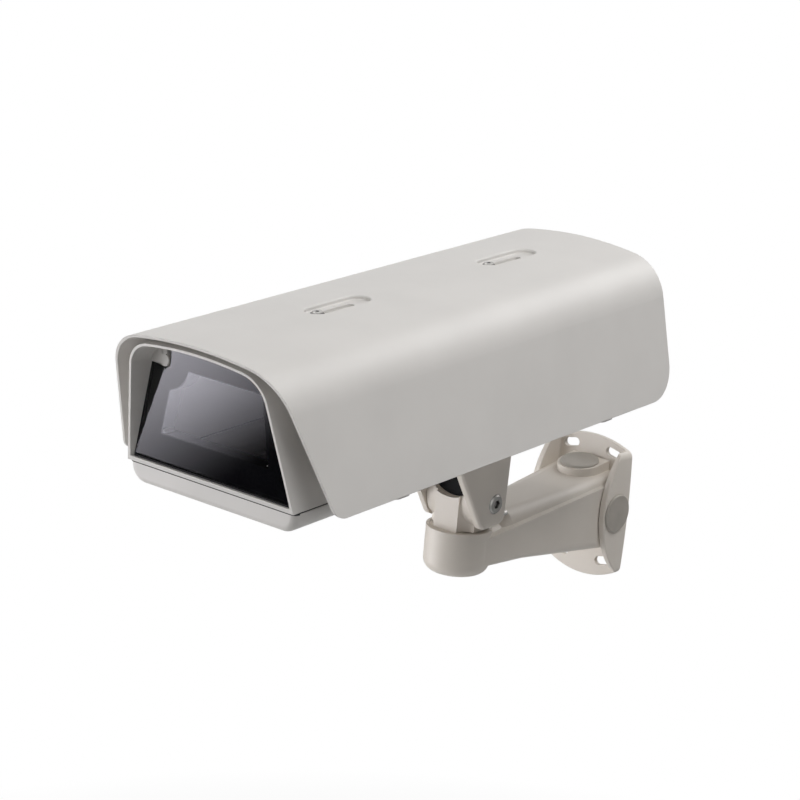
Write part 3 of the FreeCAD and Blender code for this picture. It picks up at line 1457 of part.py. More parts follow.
def cup_inside(body):
    """The pan bore, its shelf and the cable space under it."""
    bore = sketch(body, SIDE, 0, "-pan_reach")
    outline(bore, [
        (0, "-cup_foot-1"),
        ("cup_plug_radius+2+plug_gap", "-cup_foot-1"),
        ("cup_plug_radius+2+plug_gap", "plug_cap-cup_foot"),
        ("cup_plug_radius+plug_gap", "plug_cap-cup_foot"),
        ("cup_plug_radius+plug_gap", "cup_wall-cup_foot"),
        ("cup_opening", "cup_wall-cup_foot"),
        ("cup_opening", SHELF_FOOT),
        ("spigot_radius+running_gap", SHELF_FOOT),
        ("spigot_radius+running_gap", CUP_FLOOR),
        ("flange_radius+recess_gap", CUP_FLOOR),
        ("flange_radius+recess_gap", "cup_top+1"),
        (0, "cup_top+1"),
    ])
    spin(body, bore, cutting=True)


def plug(name, radius, stem):
    """A push-in cap: a low disc with a hollow stem behind it."""
    body = pattern_body(name)
    profile = sketch(body, FRONT)
    outline(profile, [
        (f"({stem}-plug_wall)", "-plug_stem"),
        (stem, "-plug_stem"),
        (stem, 0),
        (radius, 0),
        (radius, "plug_cap-0.8"),
        (f"({radius}-0.8)", "plug_cap"),
        (0, "plug_cap"),
        (0, "-0.5"),
        (f"({stem}-plug_wall)", "-0.5"),
    ])
    spin(body, profile)
    return body


def plugs():
    """The caps over the arm's openings."""
    cap = plug("round_cap", "plug_radius", "plug_stem_radius")
    copies("top_plug", cap, [(0, "-top_plug_reach", "top_plug_height",
                              FreeCAD.Rotation(V(1, 0, 0), value("top_plug_slope")))])
    copies("side_plugs", cap, [
        (f"({turn}*{SIDE_SEAT})", "-side_plug_reach", "side_plug_rise",
         FreeCAD.Rotation(V(0, 1, 0), turn * 90)) for turn in (-1, 1)])
    foot = plug("foot_cap", "(cup_plug_radius+2)", "cup_plug_radius")
    copies("cup_plug", foot, [(0, "-pan_reach", "plug_cap-cup_foot", FreeCAD.Rotation(V(1, 0, 0), 180))])


def cable_glands():
    """Three screwed glands under the tray, each closed by a soft plug, with its nut inside."""
    body = pattern_body("gland_core")
    core = sketch(body, FRONT)
    reach = "(tray_wall+locknut_height+0.8)"
    outline(core, [
        ("gland_bore", "-gland_collar-gland_neck"),
        ("gland_thread", "-gland_collar-gland_neck"),
        ("gland_thread", reach),
        ("gland_bore", reach),
    ])
    spin(body, core)
    collar = sketch(body, TOP)
    hexagon(collar, "gland_hex")
    circle(collar, 0, 0, "gland_bore")
    pad(body, collar, "gland_collar", back=True)
    cap = pattern_body("gland_dome")
    shell = sketch(cap, FRONT)
    low = "(-gland_collar-gland_cap-0.3)"
    outline(shell, [
        ("gland_bore+0.5", low),
        ("gland_cap_radius-gland_cap_round", low),
        ("gland_cap_radius", f"({low}+gland_cap_round)"),
        ("gland_cap_radius", "-gland_collar-0.3"),
        ("gland_thread+thread_gap", "-gland_collar-0.3"),
        ("gland_thread+thread_gap", "-gland_collar-gland_neck-0.3"),
        ("gland_bore+0.5", "-gland_collar-gland_neck-0.3"),
    ])
    spin(cap, shell)
    insert = pattern_body("gland_insert")
    seal = sketch(insert, FRONT)
    outline(seal, [
        (0, f"({low}+1)"),
        ("gland_bore", f"({low}+1)"),
        ("gland_bore", f"({reach}-2)"),
        (0, f"({reach}-2)"),
    ])
    spin(insert, seal)
    nut = pattern_body("gland_ring")
    ring = sketch(nut, TOP)
    hexagon(ring, "locknut_hex")
    circle(ring, 0, 0, "gland_thread+thread_gap")
    pad(nut, ring, "locknut_height")
    for name, master, level in (("cable_glands", body, TRAY_FOOT), ("gland_caps", cap, TRAY_FOOT),
                                ("gland_plugs", insert, TRAY_FOOT), ("gland_nuts", nut, TRAY_FLOOR)):
        tilted(copies(name, master, [(x, "-gland_place", level, UPRIGHT) for x in GLAND_PLACES]))


def camera_sled():
    """The slotted plate that carries the camera and slides on the tray's rails."""
    body = new_body("camera_sled")
    plate = sketch(body, TOP, SLED_FLOOR)
    rectangle(plate, "-sled_width/2", "sled_width/2", "-sled_front", "sled_length-sled_front", "sled_round")
    pad(body, plate, "sled_thickness")
    slots = sketch(body, TOP, f"({SLED_FLOOR}+sled_thickness)")
    for spot in THUMB_PLACES:
        slot(slots, 0, spot, "sled_slot_length", "sled_slot_width", 90)
    slot(slots, 0, "thumb_spacing/2-thumb_place", "camera_slot_length", "sled_slot_width", 90)
    for side in (-1, 1):
        for spot in THUMB_PLACES:
            slot(slots, f"({side}*sled_hole_pitch)", spot, "sled_slot_length", "sled_slot_width/2+1", 90)
    cut(body, slots, "sled_thickness")
    tilted(body)


def thumb_screws():
    """The two knurled screws that hold the sled."""
    body = pattern_body("thumb_screw")
    profile = sketch(body, FRONT)
    outline(profile, [
        (0, "-sled_thickness-thumb_gap-sled_lift*0.7"),
        ("thumb_stem", "-sled_thickness-thumb_gap-sled_lift*0.7"),
        ("thumb_stem", 0),
        ("thumb_radius", 0),
        ("thumb_radius", "thumb_height-0.8"),
        ("thumb_radius-0.8", "thumb_height"),
        (0, "thumb_height"),
    ])
    spin(body, profile)
    seat = f"({SLED_FLOOR}+sled_thickness+thumb_gap)"
    tilted(copies("thumb_screws", body, [(0, spot, seat, UPRIGHT) for spot in THUMB_PLACES]))


def circuit_board():
    """The supply board, its screws and its terminal blocks."""
    body = new_body("circuit_board")
    plate = sketch(body, TOP, BOARD_FOOT)
    rectangle(plate, "-board_width/2", "board_width/2", "board_front", "board_front+board_length")
    for x, y in BOARD_HOLES:
        circle(plate, x, y, "board_screw_radius+thread_gap*2")
    pad(body, plate, "board_thickness")
    tilted(body)
    screw = cap_screw("board_screw", "board_screw_radius", "board_screw_head", "board_screw_head_height",
                      "(board_lift*0.7)", "board_screw_radius*0.6")
    level = f"({BOARD_FOOT}+board_thickness)"
    tilted(copies("board_screws", screw, [(x, y, level, UPRIGHT) for x, y in BOARD_HOLES]))
    block = pattern_body("terminal_block")
    base = sketch(block, TOP)
    rectangle(base, "-block_length/2", "block_length/2", "-block_width/2", "block_width/2")
    pad(block, base, "block_height")
    for k in range(4):
        well = sketch(block, TOP, "block_height")
        circle(well, f"(({k}-1.5)*block_length/4)", "block_width/8", "block_well")
        cut(block, well, "block_height/3")
    step = sketch(block, TOP, "block_height")
    rectangle(step, "-block_length/2-1", "block_length/2+1", "-block_width/2-1", "-block_width/4")
    cut(block, step, "block_height/4")
    places = [(f"({k}*(block_length+4))", "board_front+board_length-block_width*0.8", level, UPRIGHT)
              for k in (-1, 0, 1)]
    tilted(copies("terminal_blocks", block, places))


def fan():
    """The small fan near the rear wall: a square frame on two feet, and its rotor."""
    frame = new_body("fan_frame")
    middle = f"({TRAY_FLOOR}+fan_size/2)"
    square = sketch(frame, FRONT, "fan_place")
    rectangle(square, "-fan_size/2", "fan_size/2", f"({middle}-fan_size/2)", f"({middle}+fan_size/2)",
              "fan_corner")
    pad(frame, square, "fan_depth", back=True)
    feet = sketch(frame, TOP, TRAY_FLOOR)
    rectangle(feet, "-fan_size/2-fan_foot", "fan_size/2+fan_foot", "fan_place", "fan_place+fan_depth")
    pad(frame, feet, "fan_foot_height")
    opening = sketch(frame, FRONT, "fan_place")
    circle(opening, 0, middle, "fan_bore")
    cut(frame, opening, "fan_depth")
    spokes = sketch(frame, FRONT, "fan_place+fan_depth-2")
    rectangle(spokes, "-fan_bore-1", "fan_bore+1", f"({middle}-fan_spokes/2)", f"({middle}+fan_spokes/2)")
    pad(frame, spokes, 2, back=True)
    upright = sketch(frame, FRONT, "fan_place+fan_depth-2")
    rectangle(upright, "-fan_spokes/2", "fan_spokes/2", f"({middle}-fan_bore-1)", f"({middle}+fan_bore+1)")
    pad(frame, upright, 2, back=True)
    hub = sketch(frame, FRONT, "fan_place+fan_depth-2")
    circle(hub, 0, middle, "fan_hub")
    pad(frame, hub, 2, back=True)
    shaft = sketch(frame, FRONT, "fan_place+2")
    circle(shaft, 0, middle, "fan_shaft")
    pad(frame, shaft, "fan_depth-3", back=True)
    tilted(frame)
    rotor = new_body("fan_rotor")
    core = sketch(rotor, FRONT, 0)
    circle(core, 0, 0, "fan_hub")
    pad(rotor, core, "fan_depth-2-fan_gap*2", back=True)
    blade = sketch(rotor, FRONT, "0.8")
    rectangle(blade, "-blade_thickness/2", "blade_thickness/2", "fan_hub-1", "fan_blade")
    first = pad(rotor, blade, "fan_depth-4.4", back=True)
    ring = rotor.newObject("PartDesign::PolarPattern", "Blades")
    ring.Originals = [first]
    ring.Axis = (core, ["N_Axis"])
    tie(ring, "Occurrences", "fan_blades")
    rotor.Tip = ring
    settle(ring)
    bore = sketch(rotor, FRONT, "0.8")
    circle(bore, 0, 0, "fan_shaft+running_gap")
    cut(rotor, bore)
    tilt = FreeCAD.Rotation(V(1, 0, 0), value("tilt_angle"))
    reach, rise = "(fan_place+fan_gap)", middle
    place(rotor, 0, f"(-tilt_reach+{reach}*cos(tilt_angle)-{rise}*sin(tilt_angle))",
          f"(tilt_height+{reach}*sin(tilt_angle)+{rise}*cos(tilt_angle))", tilt)
    tie(rotor, "Placement.Rotation.Angle", "tilt_angle")


def window_heater():
    """A finned block on the floor behind the window, which keeps it clear."""
    body = new_body("window_heater")
    base = sketch(body, TOP, TRAY_FLOOR)
    rectangle(base, "-heater_width/2", "heater_width/2", "-heater_place", "heater_depth-heater_place")
    pad(body, base, "heater_base")
    fins = int(value("heater_width/heater_pitch"))
    rows = sketch(body, TOP, f"({TRAY_FLOOR}+heater_base)")
    for k in range(fins + 1):
        edge = f"({k}*(heater_width-heater_fin)/{fins}-heater_width/2)"
        rectangle(rows, edge, f"({edge}+heater_fin)", "-heater_place", "heater_depth-heater_place")
    pad(body, rows, "heater_height-heater_base")
    tilted(body)


def main():
    """Builds every piece and writes one file for each node."""
    for build in (
        sunshield, cover, window_gasket, window_glass, tray, seam_gasket, shield_fixings, cover_bolts,
        hinge_pins, yoke, tilt_fixings, yoke_screws, knuckle, retaining_ring, cable_boot, wall_arm,
        plugs, cable_glands, camera_sled, thumb_screws, circuit_board, fan, window_heater,
    ):
        build()
    doc.recompute()
    for item in doc.Objects:
        if "Invalid" in item.State or "Error" in item.State:
            raise RuntimeError(f"{item.Label} failed: {item.State}")
    os.makedirs("parts", exist_ok=True)
    for node in nodes:
        if node.Shape.isNull() or not node.Shape.isValid():
            raise RuntimeError(f"{node.Label} has no valid shape")
    for node in nodes:
        node.Shape.exportStep(f"parts/{node.Label}.step")


main()
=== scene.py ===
"""Dresses the camera housing: its finishes, its printed and fitted details, and a plain studio."""
import json
import math
from contextlib import contextmanager

import bmesh
import bpy
from bpy.props import FloatProperty, FloatVectorProperty, PointerProperty
from bpy.types import Operator, Panel, PropertyGroup, Scene
from mathutils import Matrix, Vector


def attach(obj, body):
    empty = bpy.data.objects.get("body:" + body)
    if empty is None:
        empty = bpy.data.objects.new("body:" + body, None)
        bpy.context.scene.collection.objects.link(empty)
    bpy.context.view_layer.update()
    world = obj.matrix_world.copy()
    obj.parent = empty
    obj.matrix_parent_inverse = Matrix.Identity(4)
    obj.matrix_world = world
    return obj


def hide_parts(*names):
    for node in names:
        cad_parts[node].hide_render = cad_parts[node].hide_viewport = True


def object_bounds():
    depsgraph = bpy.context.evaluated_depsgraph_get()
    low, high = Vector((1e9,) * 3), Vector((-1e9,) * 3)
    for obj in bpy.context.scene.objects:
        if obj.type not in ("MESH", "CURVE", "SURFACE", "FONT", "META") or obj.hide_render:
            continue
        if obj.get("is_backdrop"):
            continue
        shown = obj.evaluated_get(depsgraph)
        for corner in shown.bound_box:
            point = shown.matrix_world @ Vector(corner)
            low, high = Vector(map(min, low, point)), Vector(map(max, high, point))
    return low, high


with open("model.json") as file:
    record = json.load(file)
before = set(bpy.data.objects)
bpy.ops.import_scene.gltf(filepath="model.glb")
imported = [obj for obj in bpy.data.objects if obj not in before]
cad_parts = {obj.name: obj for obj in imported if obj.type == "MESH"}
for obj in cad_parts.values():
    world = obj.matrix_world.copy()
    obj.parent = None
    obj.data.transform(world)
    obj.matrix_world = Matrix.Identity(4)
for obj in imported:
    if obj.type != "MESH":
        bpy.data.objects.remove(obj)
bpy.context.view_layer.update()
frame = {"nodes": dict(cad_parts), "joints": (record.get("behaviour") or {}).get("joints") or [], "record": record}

bl_info = {
    "name": "Camera Housing",
    "version": (1, 0, 0),
    "blender": (4, 5, 0),
    "location": "3D View > Sidebar > Camera Housing",
    "description": "Finishes, fitted details and a studio for a security camera housing",
    "category": "Object",
}

JOINTS = {joint["name"]: joint for joint in frame["joints"]}
FORWARD = Vector(JOINTS["sled_slide"]["axis"])
TILT_AXIS = Vector(JOINTS["tilt"]["pos_m"])
LOOK_DOWN = math.atan2(-FORWARD.z, -FORWARD.y)

# The housing's own frame: level, with its origin on the tilt axis.
HOUSING = Matrix.Translation(TILT_AXIS) @ Matrix.Rotation(LOOK_DOWN, 4, "X")

# The turn that lays a cylinder along the housing.
LEVEL = (math.radians(90.0), 0.0, 0.0)

# The finish that the frame's nodes of each slot take.
FINISH_OF_SLOT = {
    "shield_paint": "housing_coat",
    "housing_paint": "housing_coat",
    "bracket_paint": "bracket_coat",
    "plug_plastic": "plug_skin",
    "gland_plastic": "gland_skin",
    "block_plastic": "block_skin",
    "fan_plastic": "fan_skin",
    "black_rubber": "rubber_skin",
    "steel": "stainless_steel",
    "bare_aluminium": "brushed_aluminium",
    "window_glass": "window_pane",
    "board": "board_mask",
}

# Colour and roughness of the moulded pieces whose colour isn't a setting.
MOULDED = {
    "block_skin": ((0.02, 0.16, 0.05), 0.35),
    "fan_skin": ((0.015, 0.015, 0.016), 0.38),
    "sleeve_plastic": ((0.012, 0.020, 0.045), 0.3),
    "relay_plastic": ((0.035, 0.095, 0.26), 0.35),
    "lamp_lens": ((0.22, 0.55, 0.16), 0.12),
}

# Where the fittings stand on the board, in the housing's own frame: X across, Y to the wall.
CAPACITOR_SPOT = (-0.036, 0.022)
CAPACITOR_SHIFTS = ((0.0125, 0.0, 0.0), (0.0, -0.0115, 0.0))
RELAY_SPOT = (0.004, 0.022)
FUSE_SPOT = (0.032, 0.014)
CHIP_SPOT = (-0.014, 0.0115)
LAMP_SPOT = (0.024, 0.026)
LAMP_SHIFT = (0.006, 0.0, 0.0)

# The terminal blocks: the middle of the first, their spacing, and the wells in each.
BLOCK_SPOT = (-0.030, 0.0466)
BLOCK_SPACING = 0.030
BLOCK_COUNT = 3
WELL_PITCH = 0.0065
WELL_COUNT = 4

# Place of each softbox, its width and height, and the setting that gives its power.
SOFTBOXES = {
    "key_lamp": ((-1.3, -2.4, 0.5), (1.5, 1.5), "key_power"),
    "fill_lamp": ((-2.1, -1.5, -0.3), (1.5, 1.0), "fill_power"),
    "top_lamp": ((0.95, -0.45, 2.0), (1.5, 1.1), "top_power"),
    "rear_lamp": ((0.35, 1.35, 1.45), (1.2, 0.8), "rear_power"),
    "side_lamp": ((2.2, -0.6, 0.7), (1.2, 1.2), "side_power"),
}

# The card, the window's middle that it faces, and its direction and distance from there.
# In that direction the pane mirrors the photograph's view.
CARD_SIZE = 1.6
CARD_TARGET = Vector((0.0, -0.44, 0.135))
CARD_DIRECTION = Vector((-0.6584, -0.6958, -0.2869))
CARD_DISTANCE = 1.3


def colour(name, text, default):
    """A colour that a user can change."""
    return FloatVectorProperty(name=name, description=text, subtype="COLOR", size=3, min=0.0,
                               max=1.0, default=default)


def length(name, text, default):
    """A length that a user can change."""
    return FloatProperty(name=name, description=text, default=default, min=0.0, unit="LENGTH",
                         precision=5)


def angle(name, text, default):
    """An angle that a user can change."""
    return FloatProperty(name=name, description=text, default=math.radians(default),
                         subtype="ANGLE")


def vector(name, text, default):
    """A place or a box's sizes that a user can change."""
    return FloatVectorProperty(name=name, description=text, subtype="XYZ", unit="LENGTH", size=3,
                               precision=5, default=default)


def power(name, text, default):
    """A light's power that a user can change."""
    return FloatProperty(name=name, description=text, default=default, min=0.0)


def share(name, text, default):
    """A share from nothing to all that a user can change."""
    return FloatProperty(name=name, description=text, default=default, min=0.0, max=1.0,
                         subtype="FACTOR")


class FinishSettings(PropertyGroup):
    """Colours and grain of the finishes."""

    housing_colour: colour("Housing", "Powder coat of the sunshield, cover and tray",
                           (0.70, 0.678, 0.652))
    bracket_colour: colour("Bracket", "Powder coat of the arm, knuckle and yoke",
                           (0.77, 0.715, 0.65))
    plug_colour: colour("Plugs", "Moulded plugs of the arm", (0.42, 0.39, 0.35))
    gland_colour: colour("Glands", "Moulded cable glands", (0.16, 0.16, 0.16))
    steel_colour: colour("Steel", "Screws, pins and washers", (0.42, 0.41, 0.395))
    glass_colour: colour("Glass", "Body of the window pane", (0.84, 0.85, 0.87))
    coat_grain: length("Coat grain", "Width of one grain of the powder coat", 0.0007)
    coat_relief: length("Coat relief", "Height of the powder coat's grain", 0.00003)
    coat_roughness: share("Coat roughness", "How matt the powder coat is", 0.42)
    edge_round: length("Edge round", "Round that the coat gives to sharp edges", 0.0004)


class WindowSettings(PropertyGroup):
    """The window's clear area, measured on the pane from the middle of its foot."""

    foot: vector("Foot", "Middle of the window's foot on the housing", (0.0, -0.2731, 0.0768))
    rake: angle("Rake", "How far the window leans back", 3.43)
    pane: length("Pane", "Thickness of the pane", 0.004)
    lip: length("Lip", "Gap between the pane and the wall behind it", 0.001)
    base_width: length("Base width", "Width of the clear area at its foot", 0.098)
    top_width: length("Top width", "Width of the clear area at its top", 0.080)
    floor: length("Floor", "Height of the clear area's foot", 0.0235)
    height: length("Height", "Height of the clear area", 0.0475)
    boss_across: length("Boss across", "How far the sensor boss is from the middle", 0.0465)
    boss_height: length("Boss height", "Height of the sensor boss", 0.075)
    boss_radius: length("Boss radius", "Radius of the sensor boss", 0.0043)
    boss_proud: length("Boss proud", "How far the sensor boss stands out from the pane", 0.0009)
    boss_curtain: length("Curtain", "Height of the foot of the plate beside the boss", 0.0717)
    collar: length("Collar", "Radius of the print round the sensor boss", 0.020)
    shade_wall: length("Shade wall", "Thickness of the black shade behind the pane", 0.0008)
    shade_depth: length("Shade depth", "Depth of the black shade behind the pane", 0.0105)


class FittingSettings(PropertyGroup):
    """Small fittings, in the housing's own frame."""

    # The seals under the sunshield's screws are black rings that also paint the shade round each screw head.
    seal_radius: length("Seal", "Outer radius of the seals under the sunshield's screws", 0.005)
    seal_height: length("Seal height", "Height of those seals", 0.0008)
    board_level: length("Board", "Height of the board's upper side", 0.0753)
    can_radius: length("Capacitor", "Radius of the capacitors", 0.005)
    can_height: length("Capacitor height", "Height of the capacitors", 0.0125)
    relay_size: vector("Relay", "Width, length and height of the relay", (0.019, 0.0155, 0.0152))
    chip_size: vector("Chip", "Width, length and height of the chip", (0.0100, 0.0065, 0.0022))
    fuse_length: length("Fuse", "Length of the fuse with its caps", 0.020)


class StageSettings(PropertyGroup):
    """Camera, lamps and floor."""

    camera_place: vector("Camera", "Place of the camera", (1.0909, -1.607, 0.5743))
    camera_azimuth: angle("Azimuth", "Direction of the camera's view, from the wall's normal",
                          38.81)
    camera_elevation: angle("Elevation", "How far the camera looks down", 14.64)
    camera_roll: angle("Roll", "Turn of the camera about its line of sight", 4.93)
    lens: FloatProperty(name="Lens", description="Focal length on a 36 mm sensor", default=114.28,
                        subtype="DISTANCE_CAMERA")
    floor_depth: length("Floor depth", "Depth of the floor below the wall plate's middle", 0.75)
    floor_size: length("Floor size", "Width of the floor", 30.0)
    key_power: power("Key lamp", "Power of the softbox at the front left", 22.0)
    fill_power: power("Fill lamp", "Power of the softbox at the lower left", 22.0)
    top_power: power("Top lamp", "Power of the softbox overhead", 30.0)
    rear_power: power("Rear lamp", "Power of the softbox behind the top", 12.0)
    side_power: power("Side lamp", "Power of the softbox at the right", 3.2)
    card_light: power("Card", "Light of the card that the window mirrors", 6.8)
    card_tint: colour("Card tint", "Colour of the card that the window mirrors", (0.93, 0.91, 1.0))
    ambient: share("Ambient", "Light of the surroundings on the object", 0.02)


class HousingSettings(PropertyGroup):
    """All that a user can change."""

    finish: PointerProperty(type=FinishSettings)
    window: PointerProperty(type=WindowSettings)
    fittings: PointerProperty(type=FittingSettings)
    stage: PointerProperty(type=StageSettings)


# Node helpers.

class Nodes:
    """The nodes of a material or world, and short ways to add and join them."""

    def __init__(self, owner):
        owner.use_nodes = True
        self.tree = owner.node_tree

    def add(self, kind, **settings):
        """A node with the settings given."""
        node = self.tree.nodes.new(kind)
        for key, number in settings.items():
            setattr(node, key, number)
        return node

    def join(self, source, target):
        """A link from an output to an input."""
        self.tree.links.new(source, target)

    def remap(self, source, low, high, start=0.3, end=0.7, **settings):
        """A value brought from one range to another."""
        node = self.add("ShaderNodeMapRange", **settings)
        for key, number in zip(("From Min", "From Max", "To Min", "To Max"),
                               (start, end, low, high)):
            node.inputs[key].default_value = number
        self.join(source, node.inputs["Value"])
        return node.outputs["Result"]

    def merge(self, operation, first, second, **settings):
        """One value from two, by an operation such as MULTIPLY."""
        node = self.add("ShaderNodeMath", operation=operation, **settings)
        self.join(first, node.inputs[0])
        self.join(second, node.inputs[1])
        return node.outputs["Value"]


class Finish(Nodes):
    """A new material with its shader."""

    def __init__(self, name, base, roughness, metallic=0.0):
        self.material = bpy.data.materials.new(name)
        super().__init__(self.material)
        self.shader = self.tree.nodes["Principled BSDF"]
        self.shader.inputs["Base Color"].default_value = (*base, 1.0)
        self.shader.inputs["Roughness"].default_value = roughness
        self.shader.inputs["Metallic"].default_value = metallic
        self.place = self.add("ShaderNodeTexCoord").outputs["Object"]

    def noise(self, size, detail=2.0, roughness=0.5, stretch=None):
        """Noise whose features are about as wide as the size."""
        node = self.add("ShaderNodeTexNoise")
        node.inputs["Scale"].default_value = 1.0 / size
        node.inputs["Detail"].default_value = detail
        node.inputs["Roughness"].default_value = roughness
        place = self.place
        if stretch is not None:
            mapping = self.add("ShaderNodeMapping")
            mapping.inputs["Scale"].default_value = stretch
            self.join(place, mapping.inputs["Vector"])
            place = mapping.outputs["Vector"]
        self.join(place, node.inputs["Vector"])
        return node.outputs["Fac"]

    def blend(self, factor, first, second):
        """A colour between two, by a factor."""
        node = self.add("ShaderNodeMix", data_type="RGBA")
        self.join(factor, node.inputs["Factor"])
        node.inputs["A"].default_value = (*first, 1.0)
        node.inputs["B"].default_value = (*second, 1.0)
        self.join(node.outputs["Result"], self.shader.inputs["Base Color"])
        return node

    def cloud(self, size, detail, first, second):
        """A tone that drifts between two colours, in clouds of about the size."""
        return self.blend(self.remap(self.noise(size, detail), 0.0, 1.0), first, second)

    def roughen(self, source, low, high):
        """Roughness that follows a value."""
        self.join(self.remap(source, low, high), self.shader.inputs["Roughness"])

    def paint_recess_shade(self, tint, reach):
        """Painted shade: less colour in sockets, slots and corners, by ambient occlusion."""
        hollow = self.add("ShaderNodeAmbientOcclusion", samples=8)
        hollow.inputs["Distance"].default_value = reach
        dim = self.add("ShaderNodeVectorMath", operation="SCALE")
        self.join(tint.outputs["Result"], dim.inputs["Vector"])
        open_share = self.remap(hollow.outputs["AO"], 0.04, 1.0, start=0.4, end=0.95)
        self.join(open_share, dim.inputs["Scale"])
        self.join(dim.outputs["Vector"], self.shader.inputs["Base Color"])

    def relief(self, height, distance, edge=None):
        """Bump from a height, over edges that are rounded if a radius is given."""
        bump = self.add("ShaderNodeBump")
        bump.inputs["Distance"].default_value = distance
        self.join(height, bump.inputs["Height"])
        if edge is not None:
            bevel = self.add("ShaderNodeBevel", samples=6)
            bevel.inputs["Radius"].default_value = edge
            self.join(bevel.outputs["Normal"], bump.inputs["Normal"])
        self.join(bump.outputs["Normal"], self.shader.inputs["Normal"])


def shade(tone, factor):
    """A colour made darker or lighter."""
    return tuple(min(1.0, part * factor) for part in tone)


def powder_coat(name, tone, settings):
    """Satin powder coat: a fine even grain, and a tone that hardly varies."""
    coat = Finish(name, tone, settings.coat_roughness)
    coat.shader.inputs["Specular IOR Level"].default_value = 0.45
    coat.cloud(0.05, 3.0, shade(tone, 0.975), shade(tone, 1.02))
    grain = coat.noise(settings.coat_grain, 2.0, 0.6)
    coat.roughen(grain, settings.coat_roughness - 0.04, settings.coat_roughness + 0.05)
    coat.relief(grain, settings.coat_relief, settings.edge_round)


def moulded_plastic(name, tone, roughness, settings):
    """Moulded plastic with a fine matt texture."""
    skin = Finish(name, tone, roughness)
    skin.cloud(0.012, 2.0, shade(tone, 0.93), shade(tone, 1.07))
    skin.relief(skin.noise(0.0005, 1.0), 0.00002, settings.edge_round * 0.75)


def black_rubber(name):
    """Matt moulded rubber."""
    skin = Finish(name, (0.006, 0.006, 0.007), 0.75)
    skin.shader.inputs["Specular IOR Level"].default_value = 0.2
    skin.cloud(0.008, 2.0, (0.005, 0.005, 0.006), (0.009, 0.009, 0.010))
    skin.relief(skin.noise(0.0004, 1.0), 0.00003)


def stainless_steel(name, tone, settings):
    """Turned stainless steel with fine tool marks, and painted shade in its sockets and slots."""
    metal = Finish(name, tone, 0.34, 1.0)
    marks = metal.noise(0.0006, 2.0, 0.6, (1.0, 1.0, 6.0))
    metal.roughen(marks, 0.28, 0.42)
    tint = metal.cloud(0.004, 2.0, shade(tone, 0.86), shade(tone, 1.08))
    # Painted shade: ambient occlusion darkens the base colour in sockets and slots.
    metal.paint_recess_shade(tint, 0.003)
    metal.relief(marks, 0.000008, settings.edge_round * 0.5)


def brushed_aluminium(name, settings):
    """Rolled aluminium, brushed along the housing."""
    tone = (0.68, 0.68, 0.67)
    metal = Finish(name, tone, 0.38, 1.0)
    brush = metal.noise(0.0012, 3.0, 0.6, (1.0, 0.04, 1.0))
    metal.roughen(brush, 0.30, 0.48)
    metal.cloud(0.02, 2.0, shade(tone, 0.92), shade(tone, 1.04))
    metal.relief(brush, 0.00001, settings.edge_round * 0.5)


def window_pane(name, tone):
    """Clear toughened glass."""
    pane = Finish(name, tone, 0.0)
    pane.shader.inputs["Transmission Weight"].default_value = 1.0
    pane.shader.inputs["IOR"].default_value = 1.52
    pane.cloud(0.03, 3.0, shade(tone, 0.985), tone)


def black_flock(name):
    """Dull black lining that mirrors nothing, as painted shade for the housing's interior behind the pane."""
    lining = Finish(name, (0.004, 0.004, 0.004), 1.0)
    lining.shader.inputs["Specular IOR Level"].default_value = 0.0
    fibres = lining.noise(0.0006, 2.0)
    lining.blend(lining.remap(fibres, 0.0, 1.0), (0.003, 0.003, 0.003), (0.005, 0.005, 0.005))
    lining.relief(fibres, 0.00004)


def window_ink(name):
    """Black print on the back of the pane."""
    ink = Finish(name, (0.008, 0.008, 0.010), 0.55)
    ink.shader.inputs["Specular IOR Level"].default_value = 0.0
    ink.cloud(0.002, 1.0, (0.007, 0.007, 0.009), (0.010, 0.010, 0.012))


def board_mask(name):
    """Green solder mask with faint tracks under it."""
    mask = Finish(name, (0.010, 0.075, 0.030), 0.30)
    tracks = mask.add("ShaderNodeTexBrick", offset=0.35, squash=0.7)
    mask.join(mask.place, tracks.inputs["Vector"])
    tracks.inputs["Scale"].default_value = 130.0
    tracks.inputs["Mortar Size"].default_value = 0.06
    tracks.inputs["Color1"].default_value = (0.008, 0.060, 0.024, 1.0)
    tracks.inputs["Color2"].default_value = (0.009, 0.068, 0.027, 1.0)
    tracks.inputs["Mortar"].default_value = (0.018, 0.120, 0.048, 1.0)
    mask.join(tracks.outputs["Color"], mask.shader.inputs["Base Color"])
    mask.shader.inputs["Coat Weight"].default_value = 0.3
    mask.relief(tracks.outputs["Fac"], 0.00003)


class HOUSING_OT_finishes(Operator):
    """Makes the finishes and gives each node of the frame its own"""

    bl_idname = "housing.finishes"
    bl_label = "Finish the castings and fittings"

    def execute(self, context):
        tones = context.scene.camera_housing.finish
        powder_coat("housing_coat", tones.housing_colour, tones)
        powder_coat("bracket_coat", tones.bracket_colour, tones)
        moulded_plastic("plug_skin", tones.plug_colour, 0.5, tones)
        moulded_plastic("gland_skin", tones.gland_colour, 0.45, tones)
        for name, (tone, roughness) in MOULDED.items():
            moulded_plastic(name, tone, roughness, tones)
        black_rubber("rubber_skin")
        stainless_steel("stainless_steel", tones.steel_colour, tones)
        brushed_aluminium("brushed_aluminium", tones)
        window_pane("window_pane", tones.glass_colour)
        window_pane("fuse_glass", (0.95, 0.96, 0.95))
        window_ink("window_ink")
        black_flock("black_flock")
        board_mask("board_mask")
        for part in frame["record"]["subparts"]:
            paint(frame["nodes"][part["node"]], FINISH_OF_SLOT[part["material_slot"]])
        return {"FINISHED"}


# Modelling helpers.

def only(*pieces):
    """Selects these pieces and nothing else."""
    bpy.ops.object.select_all(action="DESELECT")
    for piece in pieces:
        piece.select_set(True)
        bpy.context.view_layer.objects.active = piece


def primitive(kind, **settings):
    """A new primitive, selected alone."""
    only()
    getattr(bpy.ops.mesh, f"primitive_{kind}_add")(**settings)
    piece = bpy.context.active_object
    bpy.ops.object.transform_apply(location=True, rotation=True, scale=True)
    return piece


